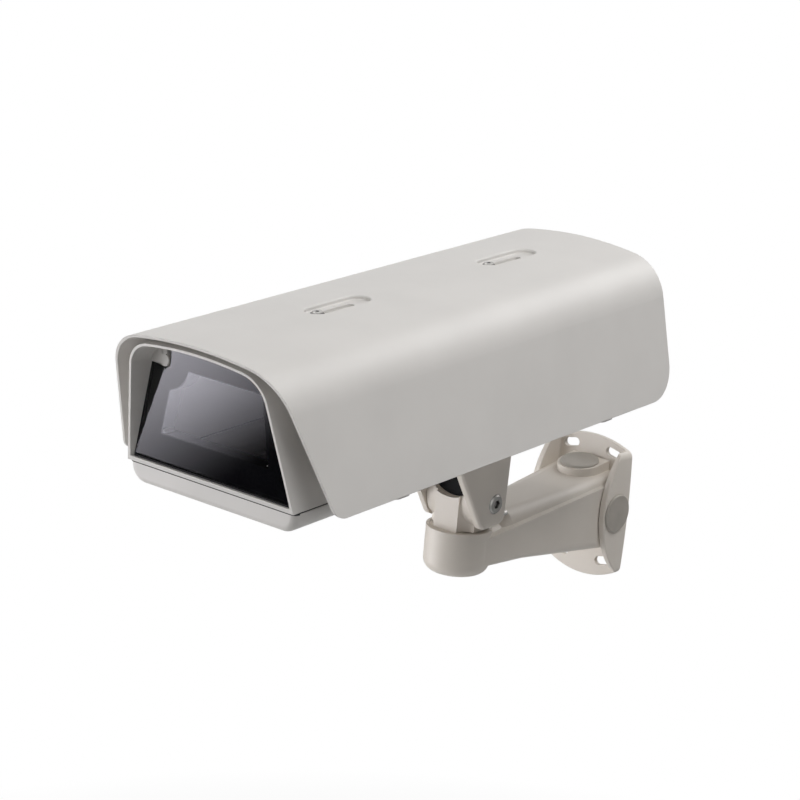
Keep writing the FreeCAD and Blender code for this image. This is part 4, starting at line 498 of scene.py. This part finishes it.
@contextmanager
def editing(piece):
    """Edit mode on one piece."""
    only(piece)
    bpy.ops.object.mode_set(mode="EDIT")
    yield
    bpy.ops.object.mode_set(mode="OBJECT")


def choose(piece, kind, wanted):
    """Selects the faces, edges or verts that pass a test."""
    bpy.ops.mesh.select_mode(type={"faces": "FACE", "edges": "EDGE", "verts": "VERT"}[kind])
    bpy.ops.mesh.select_all(action="DESELECT")
    mesh = bmesh.from_edit_mesh(piece.data)
    for part in getattr(mesh, kind):
        if wanted(part):
            part.select_set(True)
    bmesh.update_edit_mesh(piece.data)


def choose_all():
    """Selects the whole mesh."""
    bpy.ops.mesh.select_all(action="SELECT")


def edge_middle(edge):
    """The point halfway along an edge."""
    return (edge.verts[0].co + edge.verts[1].co) / 2


def keep_chosen():
    """Deletes the faces that aren't selected."""
    bpy.ops.mesh.select_all(action="INVERT")
    bpy.ops.mesh.delete(type="FACE")


def face_outward():
    """Turns all faces to look out of the piece."""
    choose_all()
    bpy.ops.mesh.normals_make_consistent(inside=False)


def cut_across(place, normal):
    """Cuts all faces along a plane."""
    choose_all()
    bpy.ops.mesh.bisect(plane_co=place, plane_no=normal)


def extrude(shift):
    """Extrudes what is selected and moves it."""
    bpy.ops.mesh.extrude_region_move(TRANSFORM_OT_translate={"value": shift})


def thicken(amount):
    """Extrudes the selected faces outward along their normals."""
    bpy.ops.mesh.extrude_region_shrink_fatten(TRANSFORM_OT_shrink_fatten={"value": amount})


def modify(piece, kind, **settings):
    """Adds a modifier and applies it."""
    only(piece)
    modifier = piece.modifiers.new(kind.title(), kind)
    for key, setting in settings.items():
        setattr(modifier, key, setting)
    bpy.ops.object.modifier_apply(modifier=modifier.name)


def round_edges(piece, width, segments, sharp=40.0):
    """Rounds the edges that turn by more than an angle in degrees."""
    modify(piece, "BEVEL", width=width, segments=segments, limit_method="ANGLE",
           angle_limit=math.radians(sharp))


def combine(piece, tool, operation):
    """Adds a tool's space to a piece, or takes it away, and removes the tool."""
    modify(piece, "BOOLEAN", operation=operation, object=tool, solver="EXACT")
    bpy.data.objects.remove(tool)


def copy_of(node):
    """A merged copy of a node of the frame."""
    piece = bpy.data.objects.new(node, frame["nodes"][node].data.copy())
    bpy.context.scene.collection.objects.link(piece)
    with editing(piece):
        choose_all()
        bpy.ops.mesh.remove_doubles(threshold=0.000001)
    return piece


def paint(piece, *finishes):
    """Gives a piece its finishes, the first of them all over.

    Under the name of a slot, such as black_rubber, it is the frame's own plain material.
    """
    piece.data.materials.clear()
    for finish in finishes:
        piece.data.materials.append(bpy.data.materials[finish])


def settle(piece, name, body, place=HOUSING):
    """Puts a finished piece in its place, smooths it and lets it ride on its body."""
    piece.name = piece.data.name = name
    only(piece)
    piece.matrix_world = place
    bpy.ops.object.transform_apply(location=True, rotation=True, scale=True)
    bpy.ops.object.shade_smooth_by_angle(angle=math.radians(35.0))
    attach(piece, body)


def again(piece, name, shift, body):
    """Adds a copy of a finished piece, with its own mesh, moved in the housing's frame."""
    twin = piece.copy()
    twin.data = piece.data.copy()
    bpy.context.scene.collection.objects.link(twin)
    twin.data.transform(Matrix.Translation(HOUSING.to_3x3() @ Vector(shift)))
    twin.name = twin.data.name = name
    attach(twin, body)


def clear_block(window, grow, near, far):
    """A block across the clear area, cut away round the sensor boss. Y is the depth."""
    middle = (near + far) / 2
    base = window.base_width + grow * 2
    block = primitive("cube", size=1.0, location=(0, middle, window.floor + window.height / 2),
                      scale=(base, far - near, window.height + grow * 2))
    with editing(block):
        choose(block, "faces", lambda face: face.normal.z > 0.9)
        bpy.ops.transform.resize(value=((window.top_width + grow * 2) / base, 1.0, 1.0))
    collar = primitive("cylinder", vertices=128, radius=window.collar - grow,
                       depth=(far - near) * 2, rotation=LEVEL,
                       location=(-window.boss_across, middle, window.boss_height))
    combine(block, collar, "DIFFERENCE")
    return block


def window_place(window):
    """Where the window's foot is and how it leans."""
    return HOUSING @ Matrix.Translation(window.foot) @ Matrix.Rotation(-window.rake, 4, "X")


class HOUSING_OT_window_print(Operator):
    """Prints the black border on the back of the pane"""

    bl_idname = "housing.window_print"
    bl_label = "Print the window's border"

    def execute(self, context):
        window = context.scene.camera_housing.window
        place = window_place(window)
        border = copy_of("window_glass")
        border.data.transform(place.inverted())
        rim, layer, reach = 0.0002, 0.0001, 0.002
        with editing(border):
            choose(border, "faces", lambda face: face.normal.y > 0.99)
            keep_chosen()
            choose_all()
            bpy.ops.mesh.dissolve_limited(angle_limit=math.radians(1.0))
            choose_all()
            bpy.ops.mesh.inset(thickness=rim)
            keep_chosen()
            choose_all()
            bpy.ops.transform.translate(value=(0.0, layer / 2, 0.0))
            extrude((0.0, -layer, 0.0))
            face_outward()
        clear = clear_block(window, 0.0, window.pane - reach, window.pane + reach)
        combine(border, clear, "DIFFERENCE")
        paint(border, "window_ink")
        settle(border, "window_print", "cover", place)
        return {"FINISHED"}


class HOUSING_OT_window_shade(Operator):
    """Lines the opening behind the pane with a black shade, which paints the housing's interior behind it dark"""

    bl_idname = "housing.window_shade"
    bl_label = "Line the opening behind the window"

    def execute(self, context):
        window = context.scene.camera_housing.window
        back = window.pane + window.lip
        slack, flange, beyond = 0.0001, 0.006, 0.03
        lining = clear_block(window, flange, window.pane + slack, back - slack)
        sleeve = clear_block(window, -slack, back - slack * 3, back + window.shade_depth)
        combine(lining, sleeve, "UNION")
        inside = clear_block(window, -slack - window.shade_wall, 0.0, back + beyond)
        combine(lining, inside, "DIFFERENCE")
        round_edges(lining, 0.0002, 2, 50.0)
        # Painted shade: the black lining darkens what is seen of the housing's interior through the pane.
        paint(lining, "black_flock")
        settle(lining, "window_shade", "cover", window_place(window))
        return {"FINISHED"}


class HOUSING_OT_sensor_boss(Operator):
    """Sets the sensor boss almost flush with the pane, on a casting without the long one"""

    bl_idname = "housing.sensor_boss"
    bl_label = "Set the sensor boss flush with the pane"

    def execute(self, context):
        window = context.scene.camera_housing.window
        self.casting(window)
        self.boss(window)
        return {"FINISHED"}

    def casting(self, window):
        """The cover's casting, closed where the long boss stood."""
        place = window_place(window)
        casting = copy_of("cover")
        casting.data.transform(place.inverted())
        touch, slack, margin = 0.00006, 0.0002, 0.0005
        reach = window.boss_radius + touch
        foot = window.boss_height - window.boss_radius - margin
        front, wall = -0.016, window.pane + window.lip

        def on_boss(vert):
            """Whether a vertex is one of the long boss's."""
            return (abs(vert.co.x + window.boss_across) < reach and vert.co.z > foot
                    and front < vert.co.y < wall + slack)

        with editing(casting):
            choose(casting, "faces", lambda face: all(on_boss(vert) for vert in face.verts))
            bpy.ops.mesh.delete(type="FACE")
            choose(casting, "verts", lambda vert: vert.is_boundary and vert.co.y > wall - slack)
            bpy.ops.mesh.edge_face_add()
            choose(casting, "verts", lambda vert: vert.is_boundary)
            bpy.ops.mesh.edge_face_add()
            face_outward()
        bpy.ops.mesh.customdata_custom_splitnormals_clear()
        paint(casting, "housing_coat")
        settle(casting, "cover_casting", "cover", place)
        modify(casting, "WEIGHTED_NORMAL", keep_sharp=True)
        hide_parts("cover")

    def boss(self, window):
        """The boss in the pane's notch, and the plate that joins it to the hood's corner."""
        radius, centre, height = window.boss_radius, -window.boss_across, window.boss_height
        slack, touch = 0.0001, 0.00003
        front, back = -window.boss_proud, window.pane + window.lip - slack
        middle, depth = (front + back) / 2, back - front
        web_width, roof, throat_round, rim_round = 0.0044, 0.0875, 0.0016, 0.00055
        plate_width, plate_height = 0.016, 0.018
        # The round of the hood's corner, which the plate fills.
        corner_radius, corner_spot = 0.0195, (-0.04008, 0.0, 0.06883)
        boss = primitive("cylinder", vertices=96, radius=radius, depth=depth, rotation=LEVEL,
                         location=(centre, middle, height))
        web = primitive("cube", size=1.0, scale=(web_width, depth, roof - height),
                        location=(centre, middle, (height + roof) / 2))
        combine(boss, web, "UNION")
        plate = primitive("cube", size=1.0,
                          scale=(plate_width, window.boss_proud - slack, plate_height),
                          location=(centre - plate_width / 2, (front - slack) / 2,
                                    window.boss_curtain + plate_height / 2))
        corner = primitive("cylinder", vertices=160, radius=corner_radius, depth=0.02,
                           location=corner_spot, rotation=LEVEL)
        combine(plate, corner, "INTERSECT")
        combine(boss, plate, "UNION")

        def in_throat(edge):
            """Whether an edge runs from front to back where the boss meets the web's side."""
            place = edge_middle(edge)
            return (abs(edge.verts[0].co.y - edge.verts[1].co.y) > depth / 2
                    and abs(place.x - centre - web_width / 2) < touch
                    and height < place.z < height + radius)

        with editing(boss):
            choose_all()
            bpy.ops.mesh.remove_doubles(threshold=0.000002)
            bpy.ops.mesh.dissolve_limited(angle_limit=math.radians(0.5))
            choose(boss, "edges", in_throat)
            bpy.ops.mesh.bevel(offset=throat_round, segments=6)
            choose(boss, "edges",
                   lambda edge: all(vert.co.y < front + touch for vert in edge.verts))
            bpy.ops.mesh.bevel(offset=rim_round, segments=4)
        paint(boss, "housing_coat")
        settle(boss, "sensor_boss", "cover", window_place(window))


class HOUSING_OT_seam_shadow_lip(Operator):
    """Squeezes the seal's lip out under the cover's front edge, as a black line of painted shadow in the seam"""

    bl_idname = "housing.seam_lip"
    bl_label = "Show the seal's lip at the front"

    def execute(self, context):
        lip = copy_of("seam_gasket")
        lip.data.transform(HOUSING.inverted())
        front = min(vert.co.y for vert in lip.data.vertices)
        foot = min(vert.co.z for vert in lip.data.vertices)
        depth, touch, droop, gap, thickness = 0.0034, 0.0001, 0.0005, 0.00005, 0.001
        with editing(lip):
            choose(lip, "faces", lambda face: abs(face.normal.z) < 0.1 and face.normal.y < -0.05
                   and face.calc_center_median().y < front + depth)
            keep_chosen()
            choose(lip, "verts", lambda vert: vert.co.z < foot + touch)
            bpy.ops.transform.translate(value=(0.0, 0.0, -droop))
            choose(lip, "verts", lambda vert: vert.co.z > foot + touch)
            bpy.ops.transform.translate(value=(0.0, 0.0, -gap))
        modify(lip, "SOLIDIFY", thickness=thickness, offset=1.0)
        round_edges(lip, 0.0002, 3, 50.0)
        # Painted shadow: the black lip draws the dark line of the seam at the cover's front edge.
        paint(lip, "black_rubber")
        settle(lip, "seam_lip", "housing")
        return {"FINISHED"}


class HOUSING_OT_washer_seals_and_shade(Operator):
    """Lays a soft black seal round each washer of the sunshield's screws, whose black ring is also painted shade
    round each screw head
    """

    bl_idname = "housing.washer_seals"
    bl_label = "Seal the sunshield's screws"

    def execute(self, context):
        fittings = context.scene.camera_housing.fittings
        gap, lift = 0.00005, 0.00003
        washers = copy_of("shield_washers")
        washers.data.transform(HOUSING.inverted())
        corners = [corner.co for corner in washers.data.vertices]
        front, rear = min(corner.y for corner in corners), max(corner.y for corner in corners)
        foot = min(corner.z for corner in corners)
        inner = max(corner.x for corner in corners) + gap
        bpy.data.objects.remove(washers)
        spots = (front + inner, rear - inner)
        width = fittings.seal_radius - inner
        seal = primitive("cylinder", vertices=72, radius=inner, depth=fittings.seal_height,
                         end_fill_type="NOTHING",
                         location=(0.0, spots[0], foot + lift + fittings.seal_height / 2))
        modify(seal, "SOLIDIFY", thickness=width, offset=1.0)
        round_edges(seal, width * 0.45, 4)
        # Partly painted shade: the black ring draws the dark ring round each screw head.
        paint(seal, "black_rubber")
        settle(seal, "washer_seal_front", "cover")
        again(seal, "washer_seal_rear", (0.0, spots[1] - spots[0], 0.0), "cover")
        return {"FINISHED"}


class HOUSING_OT_capacitors(Operator):
    """Stands the capacitors on the board"""

    bl_idname = "housing.capacitors"
    bl_label = "Stand the capacitors on the board"

    def execute(self, context):
        fittings = context.scene.camera_housing.fittings
        radius, height, foot = fittings.can_radius, fittings.can_height, fittings.board_level
        spot = Vector((*CAPACITOR_SPOT, foot + height / 2))
        crimp, spread, touch, dish = 0.0018, 0.0006, 0.0001, 0.0003
        rim, bead, top = radius * 0.14, radius * 0.1, radius * 0.86
        can = primitive("cylinder", vertices=64, radius=radius, depth=height, location=spot)
        with editing(can):
            for level in (crimp - spread, crimp, crimp + spread):
                cut_across((0.0, 0.0, foot + level), (0.0, 0.0, 1.0))
            choose(can, "verts", lambda vert: abs(vert.co.z - foot - crimp) < touch)
            bpy.ops.transform.resize(value=(0.93, 0.93, 1.0))
            choose(can, "faces", lambda face: face.normal.z > 0.9)
            bpy.ops.mesh.inset(thickness=rim)
            bpy.ops.transform.translate(value=(0.0, 0.0, -dish))
            bpy.ops.mesh.inset(thickness=bead)
            choose(can, "edges", lambda edge: edge_middle(edge).z > foot + height - touch)
            bpy.ops.mesh.bevel(offset=0.0003, segments=3)
        paint(can, "sleeve_plastic", "bare_aluminium")
        for face in can.data.polygons:
            middle = face.center - spot
            if face.normal.z > 0.9 and middle.xy.length < top and middle.z > 0.0:
                face.material_index = 1
        settle(can, "capacitor_1", "housing")
        for number, shift in enumerate(CAPACITOR_SHIFTS, 2):
            again(can, f"capacitor_{number}", shift, "housing")
        return {"FINISHED"}


class HOUSING_OT_relay(Operator):
    """Sets the relay on the board"""

    bl_idname = "housing.relay"
    bl_label = "Set the relay on the board"

    def execute(self, context):
        fittings = context.scene.camera_housing.fittings
        width, depth, height = fittings.relay_size
        foot = fittings.board_level
        lift, flare, rim, dish = 0.0003, 0.0022, 0.0011, 0.0003
        relay = primitive("cube", size=1.0, location=(*RELAY_SPOT, foot + height / 2 + lift),
                          scale=(width, depth, height - lift * 2))
        with editing(relay):
            cut_across((0.0, 0.0, foot + flare), (0.0, 0.0, 1.0))
            choose(relay, "faces", lambda face: face.normal.z < -0.9)
            bpy.ops.transform.resize(value=(0.97, 0.97, 1.0))
            choose(relay, "faces", lambda face: face.normal.z > 0.9)
            bpy.ops.mesh.inset(thickness=rim)
            extrude((0.0, 0.0, -dish))
        round_edges(relay, 0.0005, 3)
        paint(relay, "relay_plastic")
        settle(relay, "relay", "housing")
        return {"FINISHED"}


class HOUSING_OT_fuse(Operator):
    """Clips the fuse on the board"""

    bl_idname = "housing.fuse"
    bl_label = "Clip the fuse on the board"

    def execute(self, context):
        fittings = context.scene.camera_housing.fittings
        long, foot = fittings.fuse_length, fittings.board_level
        cap, level = 0.005, foot + 0.0058
        axis = Vector((*FUSE_SPOT, level))
        self.fuse(axis, long, cap)
        self.clips(axis, long, cap, foot)
        return {"FINISHED"}

    def fuse(self, axis, long, cap):
        """The fuse: a glass tube between two caps."""
        radius, proud, touch = 0.0024, 0.0002, 0.0001
        fuse = primitive("cylinder", vertices=40, radius=radius, depth=long, location=axis,
                         rotation=(0.0, math.radians(90.0), 0.0))
        with editing(fuse):
            for side in (-1.0, 1.0):
                cut_across((axis.x + side * (long / 2 - cap), 0.0, 0.0), (1.0, 0.0, 0.0))
            choose(fuse, "faces", lambda face: abs(face.normal.x) < 0.1
                   and abs(face.calc_center_median().x - axis.x) > long / 2 - cap - touch)
            thicken(proud)
            choose(fuse, "edges",
                   lambda edge: abs(edge_middle(edge).x - axis.x) > long / 2 - touch)
            bpy.ops.mesh.bevel(offset=0.0004, segments=3)
        paint(fuse, "stainless_steel", "fuse_glass")
        for face in fuse.data.polygons:
            if abs(face.normal.x) < 0.1 and abs(face.center.x - axis.x) < long / 2 - cap - touch:
                face.material_index = 1
        settle(fuse, "fuse", "housing")

    def clips(self, axis, long, cap, foot):
        """The clips that hold its caps: a strip on the board, bent up on both sides."""
        width, across, thickness, level = 0.0036, 0.0052, 0.0004, foot + 0.0003
        bends = ((0.0030, 1.0), (0.0024, 1.12), (0.0016, 0.93), (0.0012, 1.12))
        clip = primitive("cube", size=1.0, scale=(width, across, thickness),
                         location=(axis.x - long / 2 + cap / 2, axis.y, level))
        with editing(clip):
            for side in (-1.0, 1.0):
                choose(clip, "faces", lambda face: face.normal.y * side > 0.9)
                extrude((0.0, side * thickness, 0.0))
            choose(clip, "faces", lambda face: face.normal.z > 0.9
                   and abs(face.calc_center_median().y - axis.y) > across / 2)
            for rise, spread in bends:
                extrude((0.0, 0.0, rise))
                bpy.ops.transform.resize(value=(1.0, spread, 1.0))
        round_edges(clip, 0.00008, 2)
        paint(clip, "stainless_steel")
        settle(clip, "fuse_clip_left", "housing")
        again(clip, "fuse_clip_right", (long - cap, 0.0, 0.0), "housing")


class HOUSING_OT_chip(Operator):
    """Solders the chip and its legs on the board"""

    bl_idname = "housing.chip"
    bl_label = "Solder the chip on the board"

    def execute(self, context):
        fittings = context.scene.camera_housing.fittings
        size, lift = fittings.chip_size, 0.0003
        spot = Vector((*CHIP_SPOT, fittings.board_level + size.z / 2 + lift))
        self.chip(spot, *size)
        self.legs(spot, size.y / 2)
        return {"FINISHED"}

    def chip(self, spot, width, depth, height):
        """The chip's body, with the dimple that marks its first leg."""
        chip = primitive("cube", size=1.0, location=spot, scale=(width, depth, height))
        with editing(chip):
            cut_across(spot, (0.0, 0.0, 1.0))
            choose(chip, "faces", lambda face: abs(face.normal.z) > 0.9)
            bpy.ops.transform.resize(value=(0.95, 0.92, 1.0))
        dimple = primitive("cylinder", vertices=24, radius=0.0005, depth=0.0002,
                           location=(spot.x - width * 0.38, spot.y - depth * 0.3,
                                     spot.z + height / 2))
        combine(chip, dimple, "DIFFERENCE")
        round_edges(chip, 0.0001, 2, 30.0)
        paint(chip, "fan_plastic")
        settle(chip, "chip", "housing")

    def legs(self, spot, reach):
        """Seven legs on each side, bent down to the board."""
        a_side, pitch, width, thickness = 7, 0.00127, 0.0004, 0.0002
        bends = ((0.0005, 0.0), (0.0004, -0.0010), (0.0007, 0.0))
        legs = []
        for number in range(a_side * 2):
            side = 1.0 if number < a_side else -1.0
            along = spot.x + ((number % a_side) - a_side // 2) * pitch
            leg = primitive("cube", size=1.0, scale=(width, thickness, thickness),
                            location=(along, spot.y + side * (reach + thickness / 2), spot.z))
            with editing(leg):
                for out, rise in bends:
                    choose(leg, "faces", lambda face: face.normal.y * side > 0.5)
                    extrude((0.0, side * out, rise))
            legs.append(leg)
        only(*legs)
        bpy.ops.object.join()
        row = bpy.context.active_object
        round_edges(row, 0.00004, 1)
        paint(row, "stainless_steel")
        settle(row, "chip_legs", "housing")


class HOUSING_OT_signal_lamps(Operator):
    """Sets two small signal lamps on the board"""

    bl_idname = "housing.signal_lamps"
    bl_label = "Set the signal lamps on the board"

    def execute(self, context):
        foot = context.scene.camera_housing.fittings.board_level
        radius, height, middle = 0.0015, 0.0044, foot + 0.0024
        collar_height, collar_width, dome, touch = 0.0001, 0.0003, 0.00142, 0.0001
        lamp = primitive("cylinder", vertices=40, radius=radius, depth=height,
                         location=(*LAMP_SPOT, middle))
        with editing(lamp):
            choose(lamp, "faces", lambda face: face.normal.z < -0.9)
            extrude((0.0, 0.0, -collar_height))
            choose(lamp, "faces", lambda face: abs(face.normal.z) < 0.1
                   and face.calc_center_median().z < middle - height / 2)
            thicken(collar_width)
            choose(lamp, "edges", lambda edge: edge_middle(edge).z > middle + height / 2 - touch)
            bpy.ops.mesh.bevel(offset=dome, segments=8)
        paint(lamp, "lamp_lens")
        settle(lamp, "signal_lamp_1", "housing")
        again(lamp, "signal_lamp_2", LAMP_SHIFT, "housing")
        return {"FINISHED"}


class HOUSING_OT_terminal_screws(Operator):
    """Puts a slotted screw in each well of the terminal blocks"""

    bl_idname = "housing.terminal_screws"
    bl_label = "Put the screws in the terminal blocks"

    def execute(self, context):
        foot = context.scene.camera_housing.fittings.board_level
        radius, height, level = 0.0017, 0.0013, foot + 0.0087
        groove_width, groove_depth, top = 0.0005, 0.0009, level + 0.0006
        first = BLOCK_SPOT[0] - (WELL_COUNT - 1) / 2 * WELL_PITCH
        screw = primitive("cylinder", vertices=40, radius=radius, depth=height,
                          location=(first, BLOCK_SPOT[1], level))
        with editing(screw):
            choose(screw, "edges", lambda edge: edge_middle(edge).z > top)
            bpy.ops.mesh.bevel(offset=0.0003, segments=3)
        groove = primitive("cube", size=1.0, location=(first, BLOCK_SPOT[1], top),
                           scale=(groove_width, radius * 3, groove_depth))
        combine(screw, groove, "DIFFERENCE")
        paint(screw, "stainless_steel")
        settle(screw, "terminal_screw_01", "housing")
        for number in range(1, BLOCK_COUNT * WELL_COUNT):
            block, well = divmod(number, WELL_COUNT)
            again(screw, f"terminal_screw_{number + 1:02d}",
                  (block * BLOCK_SPACING + well * WELL_PITCH, 0.0, 0.0), "housing")
        return {"FINISHED"}


def aim(thing, place, target):
    """Puts a lamp or a card at a place, facing a target."""
    thing.location = place
    facing = Vector(target) - Vector(place)
    thing.rotation_mode = "QUATERNION"
    thing.rotation_quaternion = facing.to_track_quat("-Z", "Y")


def softbox(name, place, target, size, energy):
    """An area lamp that faces the object."""
    lamp = bpy.data.lights.new(name, "AREA")
    lamp.shape = "RECTANGLE"
    lamp.size, lamp.size_y = size
    lamp.energy = energy
    thing = bpy.data.objects.new(name, lamp)
    bpy.context.scene.collection.objects.link(thing)
    aim(thing, place, target)


def plane(name, size, place=(0.0, 0.0, 0.0)):
    """A new square plane, which keeps its own origin."""
    bpy.ops.object.select_all(action="DESELECT")
    bpy.ops.mesh.primitive_plane_add(size=size, location=place)
    thing = bpy.context.active_object
    thing.name = name
    return thing


class HOUSING_OT_stage(Operator):
    """Sets the floor, the lamps, the surroundings and the camera"""

    bl_idname = "housing.stage"
    bl_label = "Set the studio"

    def execute(self, context):
        scene = context.scene
        stage = scene.camera_housing.stage
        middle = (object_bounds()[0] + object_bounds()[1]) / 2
        self.floor(stage)
        self.surroundings(scene, stage)
        for name, (place, size, setting) in SOFTBOXES.items():
            softbox(name, place, middle, size, getattr(stage, setting))
        self.card(stage)
        self.camera(scene, stage)
        scene.view_settings.view_transform = "Standard"
        return {"FINISHED"}

    def floor(self, stage):
        """A pale floor that keeps the shadow and turns white far away."""
        floor = plane("floor", stage.floor_size, (0.0, 0.0, -stage.floor_depth))
        pale = Finish("pale_floor", (0.86, 0.86, 0.86), 0.8)
        far = pale.add("ShaderNodeVectorMath", operation="LENGTH")
        pale.join(pale.place, far.inputs[0])
        fade = pale.remap(far.outputs["Value"], 0.5, 1.0, start=0.4, end=1.2)
        seen = pale.add("ShaderNodeLightPath").outputs["Is Camera Ray"]
        white = pale.add("ShaderNodeEmission")
        mix = pale.add("ShaderNodeMixShader")
        pale.join(pale.merge("MULTIPLY", fade, seen), mix.inputs["Fac"])
        pale.join(pale.shader.outputs["BSDF"], mix.inputs[1])
        pale.join(white.outputs["Emission"], mix.inputs[2])
        pale.join(mix.outputs["Shader"], pale.tree.nodes["Material Output"].inputs["Surface"])
        floor.data.materials.append(pale.material)
        floor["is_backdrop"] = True

    def surroundings(self, scene, stage):
        """White where it is seen or mirrored, and plain soft light on the object."""
        scene.world = bpy.data.worlds.new("studio")
        sky = Nodes(scene.world)
        background = sky.tree.nodes["Background"]
        background.inputs["Color"].default_value = (1.0, 1.0, 1.0, 1.0)
        rays = sky.add("ShaderNodeLightPath").outputs
        seen = sky.merge("MAXIMUM", rays["Is Camera Ray"], rays["Is Glossy Ray"])
        seen = sky.merge("MAXIMUM", seen, rays["Is Transmission Ray"])
        straight = sky.merge("SUBTRACT", seen, rays["Diffuse Depth"], use_clamp=True)
        strength = sky.remap(straight, stage.ambient, 1.0, start=0.0, end=1.0)
        sky.join(strength, background.inputs["Strength"])

    def card(self, stage):
        """A card below the front left for the window to mirror.

        Its light grows to the upper left, and fades again before its edge.
        """
        card = plane("window_card", CARD_SIZE)
        aim(card, CARD_TARGET + CARD_DIRECTION * CARD_DISTANCE, CARD_TARGET)
        material = bpy.data.materials.new("card_glow")
        glow = Nodes(material)
        glow.tree.nodes.remove(glow.tree.nodes["Principled BSDF"])
        turn = glow.add("ShaderNodeMapping")
        turn.inputs["Rotation"].default_value = (0.0, 0.0, math.radians(-35.0))
        glow.join(glow.add("ShaderNodeTexCoord").outputs["Object"], turn.inputs["Vector"])
        split = glow.add("ShaderNodeSeparateXYZ")
        glow.join(turn.outputs["Vector"], split.inputs["Vector"])
        up, smooth = split.outputs["Y"], {"interpolation_type": "SMOOTHSTEP"}
        ramp = glow.remap(up, 0.02, stage.card_light, start=-0.072, end=0.146, **smooth)
        fade = glow.remap(up, 1.0, 0.12, start=0.22, end=0.42, **smooth)
        light = glow.add("ShaderNodeEmission")
        light.inputs["Color"].default_value = (*stage.card_tint, 1.0)
        glow.join(glow.merge("MULTIPLY", ramp, fade), light.inputs["Strength"])
        glow.join(light.outputs["Emission"],
                  glow.tree.nodes["Material Output"].inputs["Surface"])
        card.data.materials.append(material)
        card.visible_camera = False
        card.visible_diffuse = False
        card.visible_shadow = False
        card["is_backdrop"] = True

    def camera(self, scene, stage):
        """The photograph's view."""
        lens = bpy.data.cameras.new("camera")
        lens.lens = stage.lens
        lens.sensor_width = 36.0
        lens.clip_start, lens.clip_end = 0.05, 100.0
        camera = bpy.data.objects.new("camera", lens)
        scene.collection.objects.link(camera)
        turn = (Matrix.Rotation(stage.camera_azimuth, 4, "Z")
                @ Matrix.Rotation(math.radians(90.0) - stage.camera_elevation, 4, "X")
                @ Matrix.Rotation(stage.camera_roll, 4, "Z"))
        camera.matrix_world = Matrix.Translation(stage.camera_place) @ turn
        scene.camera = camera


class HOUSING_PT_sidebar(Panel):
    """Lists the steps that dress the housing"""

    bl_label = "Camera Housing"
    bl_space_type = "VIEW_3D"
    bl_region_type = "UI"
    bl_category = "Camera Housing"

    def draw(self, context):
        for step in STEPS:
            self.layout.operator(step.bl_idname)


STEPS = (HOUSING_OT_finishes, HOUSING_OT_window_print, HOUSING_OT_window_shade,
         HOUSING_OT_sensor_boss, HOUSING_OT_seam_shadow_lip, HOUSING_OT_washer_seals_and_shade,
         HOUSING_OT_capacitors, HOUSING_OT_relay, HOUSING_OT_fuse, HOUSING_OT_chip,
         HOUSING_OT_signal_lamps, HOUSING_OT_terminal_screws, HOUSING_OT_stage)
CLASSES = (FinishSettings, WindowSettings, FittingSettings, StageSettings, HousingSettings, *STEPS,
           HOUSING_PT_sidebar)


def register():
    """Adds the settings, the operators and the panel to Blender."""
    for item in CLASSES:
        bpy.utils.register_class(item)
    Scene.camera_housing = PointerProperty(type=HousingSettings)


def unregister():
    """Takes them out again."""
    del Scene.camera_housing
    for item in reversed(CLASSES):
        bpy.utils.unregister_class(item)


def main():
    """Dresses the part step by step."""
    register()
    bpy.ops.housing.finishes()
    bpy.ops.housing.window_print()
    bpy.ops.housing.window_shade()
    bpy.ops.housing.sensor_boss()
    bpy.ops.housing.seam_lip()
    bpy.ops.housing.washer_seals()
    bpy.ops.housing.capacitors()
    bpy.ops.housing.relay()
    bpy.ops.housing.fuse()
    bpy.ops.housing.chip()
    bpy.ops.housing.signal_lamps()
    bpy.ops.housing.terminal_screws()
    bpy.ops.housing.stage()


if __name__ == "__main__":
    main()
